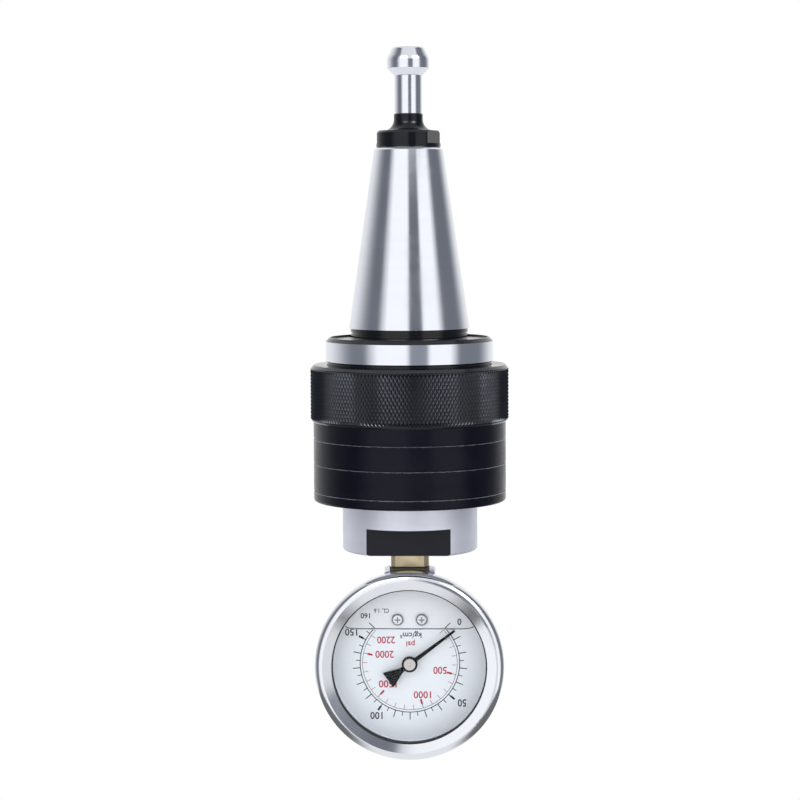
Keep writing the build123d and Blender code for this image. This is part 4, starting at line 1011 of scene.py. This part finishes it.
@dataclass
class SettingRing:
    """The setting ring, with its knurl as real diamonds. Its sizes are in mm."""

    wardrobe: Wardrobe
    diamonds: int = 161  # round the ring
    rows: int = 7
    tip_radius: float = 37.1
    root_radius: float = 36.65
    rim_radius: float = 36.75
    top: float = -15.2
    bottom: float = -36.5
    top_edge: float = 1.0
    bottom_edge: float = 0.7
    margin: float = 0.25  # smooth, above and below the knurl
    mouth_radius: float = 30.9
    mouth_depth: float = 5.0
    thread_radius: float = 30.05
    web_radius: float = 25.05
    web_height: float = 2.8
    corner_angle: float = 25.0  # degrees, from which a corner looks sharp
    rim_slack: float = 1e-5  # metres
    turn_slack: float = 1e-4  # radians

    @property
    def knurl(self) -> tuple[float, float]:
        """The heights of the knurl's upper and lower rim."""
        return self.top - self.top_edge - self.margin, self.bottom + self.bottom_edge + self.margin

    def build(self) -> list[Piece]:
        """Models the ring from its knurled sleeve outwards to both rims.

        Returns:
            The finished ring.
        """
        upper, lower = self.knurl
        set_aside()
        bpy.ops.mesh.primitive_cylinder_add(
            vertices=self.diamonds,
            radius=self.root_radius * MM,
            depth=(upper - lower) * MM,
            end_fill_type="NOTHING",
            location=(0, 0, (upper + lower) / 2 * MM),
        )
        ring = settle(bpy.context.object, "setting_ring")
        with opened(ring):
            pick(ring, Element.EDGE, lambda ends: abs(ends[0].z - ends[1].z) > MM)
            bpy.ops.mesh.subdivide(number_cuts=self.rows - 1)
            bpy.ops.mesh.select_all(action="SELECT")
            bpy.ops.mesh.poke()
            pick(ring, Element.EDGE, self.is_grid_edge)
            bpy.ops.mesh.dissolve_edges(use_verts=False)
            bpy.ops.mesh.select_all(action="SELECT")
            bpy.ops.mesh.poke(offset=(self.tip_radius - self.root_radius) * MM)
            self.close_rims(ring)
        close_and_smooth(ring, self.corner_angle)
        self.wardrobe.put_on(ring, FINISHES["black_oxide"])
        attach(ring, "ring")
        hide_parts("knurled_ring")
        return [ring]

    def is_grid_edge(self, ends: list[Vector]) -> bool:
        """Says whether an edge is upright or level, and not on the knurl's own rims.

        Args:
            ends: the edge's two ends.

        Returns:
            True for an edge between two diamonds' halves.
        """
        first, second = ends
        if abs(first.z - second.z) < SAME_PLACE:
            return all(abs(first.z - height * MM) > self.rim_slack for height in self.knurl)
        turn = abs(atan2(first.y, first.x) - atan2(second.y, second.x))
        return min(turn, abs(turn - 2 * pi)) < self.turn_slack

    def close_rims(self, ring: Piece) -> None:
        """Extrudes the smooth margins, edges, faces and bore from the knurl's rims.

        Args:
            ring: the ring, in edit mode.
        """
        upper, lower = self.knurl
        step = self.rim_radius - self.root_radius
        shoulder = self.top - self.mouth_depth
        web = self.bottom + self.web_height
        pick(ring, Element.EDGE, level_with(upper, self.rim_slack))
        Rim(self.root_radius, upper).grow(
            [
                (self.rim_radius, upper + step),
                (self.rim_radius, self.top - self.top_edge),
                (self.rim_radius - self.top_edge, self.top),
                (self.mouth_radius, self.top),
                (self.mouth_radius, shoulder),
                (self.thread_radius, shoulder),
                (self.thread_radius, web),
                (self.web_radius, web),
                (self.web_radius, self.bottom),
            ]
        )
        pick(ring, Element.EDGE, level_with(lower, self.rim_slack))
        Rim(self.root_radius, lower).grow(
            [
                (self.rim_radius, lower - step),
                (self.rim_radius, self.bottom + self.bottom_edge),
                (self.rim_radius - self.bottom_edge, self.bottom),
                (self.web_radius, self.bottom),
            ]
        )


@dataclass(frozen=True)
class Ticks:
    """Equal ticks at equal steps of a scale, each lying along a radius."""

    radius: float  # mm, of a tick's middle
    length: float  # mm
    width: float  # mm
    first: float  # value at the first tick, in the scale's own unit
    last: float
    steps: int


@dataclass(frozen=True)
class Figure:
    """A printed figure or unit."""

    text: str
    radius: float  # mm, of its middle
    angle: float  # degrees, of its middle
    height: float  # mm
    width: float  # mm


@dataclass(frozen=True)
class Scale:
    """One of the dial's two scales."""

    name: str
    finish: Finish
    slot: str
    unit: float  # kg/cm² in one of its units
    arcs: tuple[tuple[float, float], ...]  # radius and line width of each, in mm
    ticks: tuple[Ticks, ...]
    figures: tuple[Figure, ...]


BLACK_SCALE = Scale(
    "scale_black",
    SCALE_BLACK,
    "pointer_black",
    unit=1.0,
    arcs=((18.6, 0.32), (17.7, 0.16)),
    ticks=(
        Ticks(19.4, 1.6, 0.3, 0, 160, 32),
        Ticks(20.03, 2.85, 0.34, 0, 160, 16),
        Ticks(20.6, 1.9, 0.75, 50, 150, 2),
    ),
    figures=(
        Figure("0", 24.2, 40, 2.5, 1.5),
        Figure("50", 24.6, -37.8, 2.9, 3.2),
        Figure("100", 23.6, -122.3, 2.75, 4.6),
        Figure("150", 24.8, 152, 2.75, 4.6),
        Figure("160", 24.3, 133, 2.0, 3.5),
        Figure("kg/cm²", 10.75, 88, 2.8, 8.0),
        Figure("CL. 1.6", 22.3, 118.2, 1.7, 5.6),
    ),
)
RED_SCALE = Scale(
    "scale_red",
    SCALE_RED,
    "dial_white",
    unit=0.070307,
    arcs=(),
    ticks=(
        Ticks(16.75, 1.8, 0.2, 0, 2200, 22),
        Ticks(16.85, 1.6, 0.22, 500, 2000, 3),
        Ticks(15.2, 1.9, 0.75, 500, 2000, 3),
    ),
    figures=(
        Figure("500", 11.6, -13.8, 2.8, 5.1),
        Figure("1000", 12.9, -69, 2.75, 6.5),
        Figure("1500", 11.5, -136.4, 2.8, 6.7),
        Figure("2000", 10.0, 161, 2.8, 6.9),
        Figure("2200", 12.4, 135.6, 2.7, 6.7),
        Figure("psi", 7.5, 88, 2.8, 3.2),
    ),
)


@dataclass
class DialPrint:
    """The dial's printed scales, in kg/cm² and psi, with their figures."""

    wardrobe: Wardrobe
    face: float = -9.62  # mm, depth of the print
    start_angle: float = 45.0  # degrees, of zero
    sweep: float = 270.0
    full_scale: float = 160.0
    boldness: float = 0.016  # how far strokes are thickened, for letters one unit tall
    letter_steps: int = 3  # of each curve in a letter
    arc_start: float = 0.02  # mm, length of the mark that is swept into an arc
    arc_steps: int = 150

    def build(self) -> list[Piece]:
        """Prints both scales and returns the two prints."""
        return [self.print_scale(scale) for scale in (BLACK_SCALE, RED_SCALE)]

    def print_scale(self, scale: Scale) -> Piece:
        """Prints one scale, facing the front.

        Args:
            scale: the scale.

        Returns:
            The print.
        """
        marks = [self.arc(radius, width) for radius, width in scale.arcs]
        marks += [self.fan(ticks, scale.unit) for ticks in scale.ticks]
        marks += [self.figure(figure) for figure in scale.figures]
        print_of_scale = settle(joined(marks), scale.name)
        with opened(print_of_scale):
            pick(print_of_scale, Element.FACE, lambda corners: normal(corners).y > 0)
            bpy.ops.mesh.flip_normals()
        self.wardrobe.put_on(print_of_scale, scale.finish)
        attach(print_of_scale, "piston")
        return print_of_scale

    def angle_of(self, value: float) -> float:
        """The angle of a value in kg/cm², in degrees."""
        return self.start_angle - self.sweep * value / self.full_scale

    def spot(self, radius: float, angle: float) -> Place:
        """A place on the dial from a radius in mm and an angle in degrees, counted from the right."""
        turn = radians(angle)
        return (radius * cos(turn) * MM, self.face * MM, (GAUGE_HEIGHT + radius * sin(turn)) * MM)

    def strip(self, radius: float, length: float, width: float, angle: float) -> Piece:
        """Makes a flat mark that lies along a radius.

        Args:
            radius: the radius of its middle, in mm.
            length: its length along the radius, in mm.
            width: its width, in mm.
            angle: its angle, in degrees.

        Returns:
            The mark, in its place on the dial.
        """
        set_aside()
        bpy.ops.mesh.primitive_plane_add(size=1, location=(radius * MM, 0, 0))
        mark = bpy.context.object
        mark.scale = (length * MM, width * MM, 1)
        settle(mark, "mark")
        mark.rotation_euler = (radians(90), -radians(angle), 0)
        mark.location = (0, self.face * MM, GAUGE_HEIGHT * MM)
        return settle(mark, "mark")

    def spin(self, angle: float, steps: int, copies: bool) -> None:
        """Spins what is selected clockwise round the dial's centre.

        Args:
            angle: how far, in degrees.
            steps: how many steps that takes.
            copies: whether each step leaves a copy, and not a swept strip.
        """
        bpy.ops.mesh.spin(
            steps=steps,
            dupli=copies,
            angle=-radians(angle),
            center=(0, self.face * MM, GAUGE_HEIGHT * MM),
            axis=(0, 1, 0),
        )

    def fan(self, ticks: Ticks, unit: float) -> Piece:
        """Prints equal ticks round the dial.

        Args:
            ticks: the ticks.
            unit: kg/cm² in one of their units.

        Returns:
            The ticks as one mark.
        """
        start, end = (self.angle_of(value * unit) for value in (ticks.first, ticks.last))
        mark = self.strip(ticks.radius, ticks.length, ticks.width, start)
        with opened(mark):
            self.spin(start - end, ticks.steps, copies=True)
        return mark

    def arc(self, radius: float, width: float) -> Piece:
        """Draws one of the scale's circles.

        Args:
            radius: its radius, in mm.
            width: its line's width, in mm.

        Returns:
            The arc.
        """
        mark = self.strip(radius, width, self.arc_start, self.start_angle)
        turn = radians(self.start_angle)
        middle = Vector(self.spot(radius, self.start_angle))
        back = Vector((-sin(turn), 0, cos(turn)))
        with opened(mark):
            pick(mark, Element.EDGE, lambda ends: all((end - middle).dot(back) < 0 for end in ends))
            self.spin(self.sweep, self.arc_steps, copies=False)
        return mark

    def figure(self, figure: Figure) -> Piece:
        """Prints a figure, upside down as the gauge hangs.

        Args:
            figure: what is printed, and where.

        Returns:
            The figure's mesh.
        """
        set_aside()
        bpy.ops.object.text_add()
        text = bpy.context.object.data
        text.body = figure.text
        text.size = 1.0
        text.resolution_u = self.letter_steps
        text.offset = self.boldness
        bpy.ops.object.convert(target="MESH")
        letters = bpy.context.object
        xs = [vertex.co.x for vertex in letters.data.vertices]
        ys = [vertex.co.y for vertex in letters.data.vertices]
        wide = figure.width / (max(xs) - min(xs))
        tall = figure.height / (max(ys) - min(ys))
        with opened(letters):
            bpy.ops.transform.translate(value=(-(min(xs) + max(xs)) / 2, -(min(ys) + max(ys)) / 2, 0))
            bpy.ops.transform.resize(value=(wide * MM, tall * MM, 1), center_override=(0, 0, 0))
        letters.rotation_euler = (radians(90), radians(180), 0)
        letters.location = self.spot(figure.radius, figure.angle)
        return settle(letters, "figure")


@dataclass
class DampingLiquid:
    """The clear liquid that fills most of the gauge, with its raised edge at the window.

    It is drawn as its front layer only, so that the pointer sweeps behind it and never cuts its level.
    Its sizes are in mm.
    """

    wardrobe: Wardrobe
    round_steps: int = 128  # of the whole round that it is cut from
    radius: float = 28.6
    back: float = -13.3  # behind it the pointer and its hub
    front: float = -14.6  # before it the window
    level: float = 13.5  # over the dial's centre
    wall_steps: int = 40  # parts of the level, from side to side
    wall_climb: tuple[float, ...] = (2.0, 0.75, 0.27, 0.1)  # from each side wall inwards
    climb: tuple[float, ...] = (0.3, 0.14, 0.06, 0.02)  # from the window inwards
    climb_step: float = 0.35  # from one of those to the next
    climb_reach: float = 0.3  # over the level, what is higher has climbed the side wall
    line_width: float = 0.4  # of the dark line of painted shade that stands for the raised edge
    line_back: float = -14.62
    line_front: float = -14.67
    side_slack: float = 0.1
    corner_angle: float = 40.0  # degrees, from which a corner looks sharp

    def build(self) -> list[Piece]:
        """Models the liquid and its dark line of painted shade, and returns both."""
        return [self.fill(), self.draw_line()]

    def fill(self) -> Piece:
        """Models the liquid as a slice of a round, with the level's rim drawn up the window.

        Returns:
            The liquid.
        """
        set_aside()
        bpy.ops.mesh.primitive_circle_add(
            vertices=self.round_steps,
            radius=self.radius * MM,
            fill_type="NGON",
            location=(0, self.back * MM, GAUGE_HEIGHT * MM),
            rotation=TO_FRONT,
        )
        liquid = settle(bpy.context.object, "damping_liquid")
        surface = (GAUGE_HEIGHT + self.level) * MM
        stations = [self.front + self.climb_step * number for number in reversed(range(len(self.climb)))]
        with opened(liquid):
            bpy.ops.mesh.bisect(
                plane_co=(0, 0, surface), plane_no=(0, 0, 1), clear_outer=True, use_fill=False
            )
            pick(liquid, Element.EDGE, level_with(GAUGE_HEIGHT + self.level, SAME_PLACE))
            bpy.ops.mesh.subdivide(number_cuts=self.wall_steps - 1)
            self.climb_walls(liquid, self.level, SAME_PLACE)
            bpy.ops.mesh.select_all(action="SELECT")
            for start, end in zip([self.back, *stations], stations):
                extrude_along_depth(end - start)
            for station, rise in zip(stations, reversed(self.climb)):
                pick(
                    liquid,
                    Element.VERTEX,
                    lambda points: abs(points[0].y - station * MM) < SAME_PLACE
                    and -SAME_PLACE <= points[0].z - surface < self.climb_reach * MM - SAME_PLACE,
                )
                bpy.ops.transform.translate(value=(0, 0, rise * MM))
        close_and_smooth(liquid, self.corner_angle)
        self.wardrobe.put_on(liquid, DAMPING_LIQUID)
        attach(liquid, "piston")
        return liquid

    def draw_line(self) -> Piece:
        """Models the dark line that the level's raised edge shows on the window, as painted shade on a thin
        strip.

        Returns:
            The line.
        """
        height = self.level + self.climb[0]
        reach = sqrt(self.radius**2 - height**2)
        set_aside()
        bpy.ops.mesh.primitive_grid_add(
            x_subdivisions=self.wall_steps,
            y_subdivisions=1,
            size=1,
            location=(0, self.line_back * MM, (GAUGE_HEIGHT + height) * MM),
            rotation=TO_FRONT,
        )
        line = bpy.context.object
        line.scale = (2 * reach * MM, self.line_width * MM, 1)
        settle(line, "liquid_line")
        with opened(line):
            self.climb_walls(line, height, self.line_width * MM)
            bpy.ops.mesh.select_all(action="SELECT")
            extrude_along_depth(self.line_front - self.line_back)
        close_and_smooth(line, self.corner_angle)
        self.wardrobe.put_on(line, MENISCUS_SHADE)
        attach(line, "piston")
        return line

    def climb_walls(self, piece: Piece, level: float, slack: float) -> None:
        """Draws a level up a little at both side walls.

        Args:
            piece: the piece, in edit mode, its level divided into steps.
            level: the level's height over the dial's centre, in mm.
            slack: how far from that height the level's points may be, in metres.
        """
        reach = sqrt(self.radius**2 - level**2)
        for number, rise in enumerate(self.wall_climb):
            along = reach - number * 2 * reach / self.wall_steps
            inwards = 0.0 if number else reach - sqrt(self.radius**2 - (level + rise) ** 2)
            for side in (-1, 1):
                pick(
                    piece,
                    Element.VERTEX,
                    lambda points: abs(points[0].z - (GAUGE_HEIGHT + level) * MM) < slack
                    and abs(points[0].x - side * along * MM) < self.side_slack * MM,
                )
                bpy.ops.transform.translate(value=(-side * inwards * MM, 0, rise * MM))


@dataclass
class WindowSealAndShade:
    """The thin black seal that shows between the bezel's lip and the window; its black is partly the seal's
    own and partly painted shade of the gap there. Its sizes are in mm.
    """

    wardrobe: Wardrobe
    round_steps: int = 160
    corner_angle: float = 30.0  # degrees, from which a corner looks sharp
    outer_radius: float = 28.85
    inner_radius: float = 28.35
    back: float = -16.72  # on the window's front
    front: float = -17.3

    def build(self) -> list[Piece]:
        """Models the seal as a turned ring.

        Returns:
            The seal.
        """
        set_aside()
        bpy.ops.mesh.primitive_circle_add(
            vertices=self.round_steps, radius=self.outer_radius * MM, fill_type="NOTHING"
        )
        seal = settle(bpy.context.object, "window_seal_and_shade")
        outer, inner, depth = self.outer_radius, self.inner_radius, self.back - self.front
        with opened(seal):
            Rim(outer, 0.0).grow([(outer, depth), (inner, depth), (inner, 0.0), (outer, 0.0)])
        seal.rotation_euler = TO_FRONT
        seal.location = (0, self.back * MM, GAUGE_HEIGHT * MM)
        settle(seal, "window_seal_and_shade")
        close_and_smooth(seal, self.corner_angle)
        # black rubber, which also stands for painted shade in the gap between lip and window
        self.wardrobe.put_on(seal, FINISHES["seal_rubber"])
        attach(seal, "piston")
        return [seal]


# The studio


@dataclass(frozen=True)
class Softbox:
    """A soft rectangular lamp that faces the spindle axis."""

    name: str
    azimuth: float  # degrees to the left of the camera, seen from the object
    width: float  # metres
    height: float  # metres
    rise: float  # metres, height of its middle
    distance: float = 1.1  # metres, from the axis
    radiance: float = 0.3  # how bright it looks, where 1 is white


@dataclass(frozen=True)
class Card:
    """A curved card, dim or bright, that only reflections see."""

    name: str
    sides: tuple[float, float]  # its left and right side, as degrees to the left of the camera
    ends: tuple[float, float]  # metres, heights of its lower and upper end, which fade to white
    levels: tuple[float, float]  # how bright it looks at the object's height and higher up
    soft: tuple[float, float]  # degrees over which its left and right side fade to white


SOFTBOXES = (
    Softbox("left_softbox", azimuth=25.0, width=0.88, height=2.6, rise=-0.1),
    Softbox("right_softbox", azimuth=-43.5, width=0.63, height=1.8, rise=-0.5),
)
CARDS = (
    Card("left_card", (140.0, 48.0), (-1.1, 2.2), (0.26, 0.21), (62.0, 18.0)),
    Card("middle_card", (1.0, -26.5), (-0.28, 0.62), (0.36, 0.19), (2.0, 3.0)),
    Card("right_card", (-60.0, -150.0), (-1.1, 2.2), (0.26, 0.21), (14.0, 45.0)),
    Card("left_top_light", (47.0, 2.0), (0.66, 1.6), (5.4, 5.4), (10.0, 10.0)),
    Card("right_top_light", (-26.0, -72.0), (0.66, 1.6), (11.0, 11.0), (10.0, 8.0)),
)


@dataclass
class Studio:
    """The pale floor, soft lamps, cards, white surroundings and camera. Its sizes are in metres."""

    soft_light: float = 1.17  # how strong the surroundings are for soft light
    card_radius: float = 1.5
    card_seed: float = 0.002
    card_steps: int = 24
    card_fade: float = 0.12  # of the cards' lower and upper ends
    card_change: tuple[float, float] = (-0.15, 0.45)  # heights between which their brightness changes
    card_tint: Colour = (0.9, 0.96, 1.08)  # bluish
    floor_height: float = -0.32
    floor_steps: int = 96  # round its rim
    floor_radius: float = 0.45
    floor_fade: tuple[float, float] = (0.28, 0.44)
    floor_colour: Colour = (0.86, 0.86, 0.855)
    mirrored_sides: tuple[float, float] = (0.06, 0.14)  # to the side, where the floor's reflection dims
    mirrored_levels: tuple[float, float] = (1.1, 0.2)  # its brightness inside and outside that
    sensor_width: float = 36.0  # mm
    focal_pixels: float = 2344.6
    picture_width: int = 800
    nearest: float = 0.05
    camera_distance: float = 0.875
    camera_height: float = 0.041
    camera_side: float = 0.0275
    camera_yaw: float = 2.013  # degrees, as the next two
    camera_pitch: float = 4.55
    camera_roll: float = 0.27

    def build(self) -> None:
        """Sets up everything round the object."""
        self.surroundings()
        for softbox in SOFTBOXES:
            self.lamp(softbox)
        for card in CARDS:
            self.hang(card)
        self.floor()
        self.camera()

    def turn_of(self, azimuth: float) -> float:
        """Turns degrees to the left of the camera into radians from the object's front."""
        return radians(azimuth) - atan2(self.camera_side, self.camera_distance)

    def surroundings(self) -> None:
        """White for the camera, gloss and glass, and a little brighter for soft light."""
        world = bpy.data.worlds.new("surroundings")
        bpy.context.scene.world = world
        world.use_nodes = True
        wiring = Wiring(world.node_tree)
        path = wiring.add("LightPath")
        seen = wiring.math("MAXIMUM", path.outputs["Is Camera Ray"], path.outputs["Is Glossy Ray"])
        seen = wiring.math("MAXIMUM", seen, path.outputs["Is Transmission Ray"])
        strength = wiring.blend_value(seen, self.soft_light, 1.0)
        light = wiring.add("Background", {"Color": (1, 1, 1, 1), "Strength": strength})
        wiring.add("OutputWorld", {"Surface": light.outputs[0]})
        bpy.context.scene.view_settings.view_transform = "Standard"

    def lamp(self, softbox: Softbox) -> None:
        """Adds a softbox.

        Args:
            softbox: the lamp's sizes, place and brightness.
        """
        turn = self.turn_of(softbox.azimuth)
        set_aside()
        bpy.ops.object.light_add(
            type="AREA",
            location=(-softbox.distance * sin(turn), -softbox.distance * cos(turn), softbox.rise),
            rotation=(radians(90), 0, -turn),
        )
        lamp = bpy.context.object
        lamp.name = softbox.name
        lamp.data.shape = "RECTANGLE"
        lamp.data.size = softbox.width
        lamp.data.size_y = softbox.height
        lamp.data.energy = pi * softbox.width * softbox.height * softbox.radiance

    def hang(self, card: Card) -> None:
        """Hangs a card round the object, where only reflections see it.

        Args:
            card: the card's place and brightness.
        """
        left, right = (self.turn_of(side) for side in card.sides)
        low, high = card.ends
        set_aside()
        bpy.ops.mesh.primitive_plane_add(
            size=self.card_seed, location=(-self.card_radius * sin(left), -self.card_radius * cos(left), 0)
        )
        sheet = settle(bpy.context.object, card.name)
        with opened(sheet):
            bpy.ops.mesh.merge(type="CENTER")
            bpy.ops.transform.translate(value=(0, 0, low))
            bpy.ops.mesh.extrude_vertices_move(TRANSFORM_OT_translate={"value": (0, 0, high - low)})
            bpy.ops.mesh.select_all(action="SELECT")
            bpy.ops.mesh.spin(steps=self.card_steps, angle=right - left, center=(0, 0, 0), axis=(0, 0, 1))
        sheet.data.materials.append(self.card_material(card))
        sheet.visible_camera = False
        sheet.visible_diffuse = False
        sheet.visible_shadow = False
        sheet.visible_transmission = False

    def card_material(self, card: Card) -> bpy.types.Material:
        """Makes a card's glow, which fades to white at all four sides.

        Args:
            card: the card.

        Returns:
            The material.
        """
        left, right = (self.turn_of(side) for side in card.sides)
        middle, half = (left + right) / 2, (left - right) / 2
        left_soft, right_soft = (radians(soft) for soft in card.soft)
        low, high = card.ends
        material, wiring = Wiring.of_material(card.name)
        place = wiring.coordinates()
        height = wiring.part(place, "Z")
        along = wiring.dot(place, (-sin(middle), -cos(middle), 0))
        across = wiring.dot(place, (-cos(middle), sin(middle), 0))
        turn = wiring.math("ARCTAN2", across, along)
        beside = wiring.math(
            "MAXIMUM",
            wiring.ramp(turn, half - left_soft, half),
            wiring.ramp(turn, right_soft - half, -half),
        )
        beyond = wiring.math(
            "MAXIMUM",
            wiring.ramp(height, low + self.card_fade, low),
            wiring.ramp(height, high - self.card_fade, high),
        )
        lower, upper = (tuple(level * channel for channel in self.card_tint) for level in card.levels)
        tone = wiring.blend(wiring.ramp(height, *self.card_change), lower, upper)
        shown = wiring.blend(wiring.math("MAXIMUM", beside, beyond), tone, (1, 1, 1))
        glow = wiring.add("Emission", {"Color": shown, "Strength": 1.0})
        wiring.add("OutputMaterial", {"Surface": glow.outputs[0]})
        return material

    def floor(self) -> None:
        """Lays a round pale floor, which fades at its rim and looks darker in reflections to the sides."""
        set_aside()
        bpy.ops.mesh.primitive_circle_add(
            vertices=self.floor_steps,
            radius=self.floor_radius,
            fill_type="NGON",
            location=(0, 0, self.floor_height),
        )
        floor = settle(bpy.context.object, "floor")
        material, wiring = Wiring.of_material("pale_floor")
        place = wiring.coordinates()
        fade = wiring.ramp(wiring.radius(place), *self.floor_fade)
        matt = wiring.add("BsdfDiffuse", {"Color": (*self.floor_colour, 1)})
        clear = wiring.add("BsdfTransparent")
        mixed = wiring.add("MixShader", {0: fade, 1: matt.outputs[0], 2: clear.outputs[0]})
        side = wiring.math("ABSOLUTE", wiring.part(place, "X"))
        mirrored = wiring.ramp(side, *self.mirrored_sides, *self.mirrored_levels)
        glow = wiring.add("Emission", {"Strength": mirrored})
        glossy = wiring.add("LightPath").outputs["Is Glossy Ray"]
        shown = wiring.add("MixShader", {0: glossy, 1: mixed.outputs[0], 2: glow.outputs[0]})
        wiring.add("OutputMaterial", {"Surface": shown.outputs[0]})
        floor.data.materials.append(material)

    def camera(self) -> None:
        """Puts the camera where the photograph was taken from."""
        set_aside()
        bpy.ops.object.camera_add(
            location=(self.camera_side, -self.camera_distance, self.camera_height),
            rotation=(radians(90 - self.camera_pitch), radians(self.camera_roll), radians(self.camera_yaw)),
        )
        camera = bpy.context.object
        camera.name = "photograph_view"
        camera.data.sensor_width = self.sensor_width
        camera.data.lens = self.focal_pixels / self.picture_width * self.sensor_width
        camera.data.clip_start = self.nearest
        bpy.context.scene.camera = camera


def write_sizes() -> None:
    """Brings the scene's placements up to date."""
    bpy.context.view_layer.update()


def main() -> None:
    """Builds the meter's looks in order and reports each piece."""
    logging.basicConfig(level=logging.INFO, format="%(message)s")
    wardrobe = Wardrobe()
    log.info("dressed %d nodes", wardrobe.dress_nodes())
    for maker in (SettingRing, DialPrint, DampingLiquid, WindowSealAndShade):
        for piece in maker(wardrobe).build():
            log.info("%s: %d faces", piece.name, len(piece.data.polygons))
    Studio().build()
    write_sizes()
    set_aside()


if __name__ == "__main__":
    main()
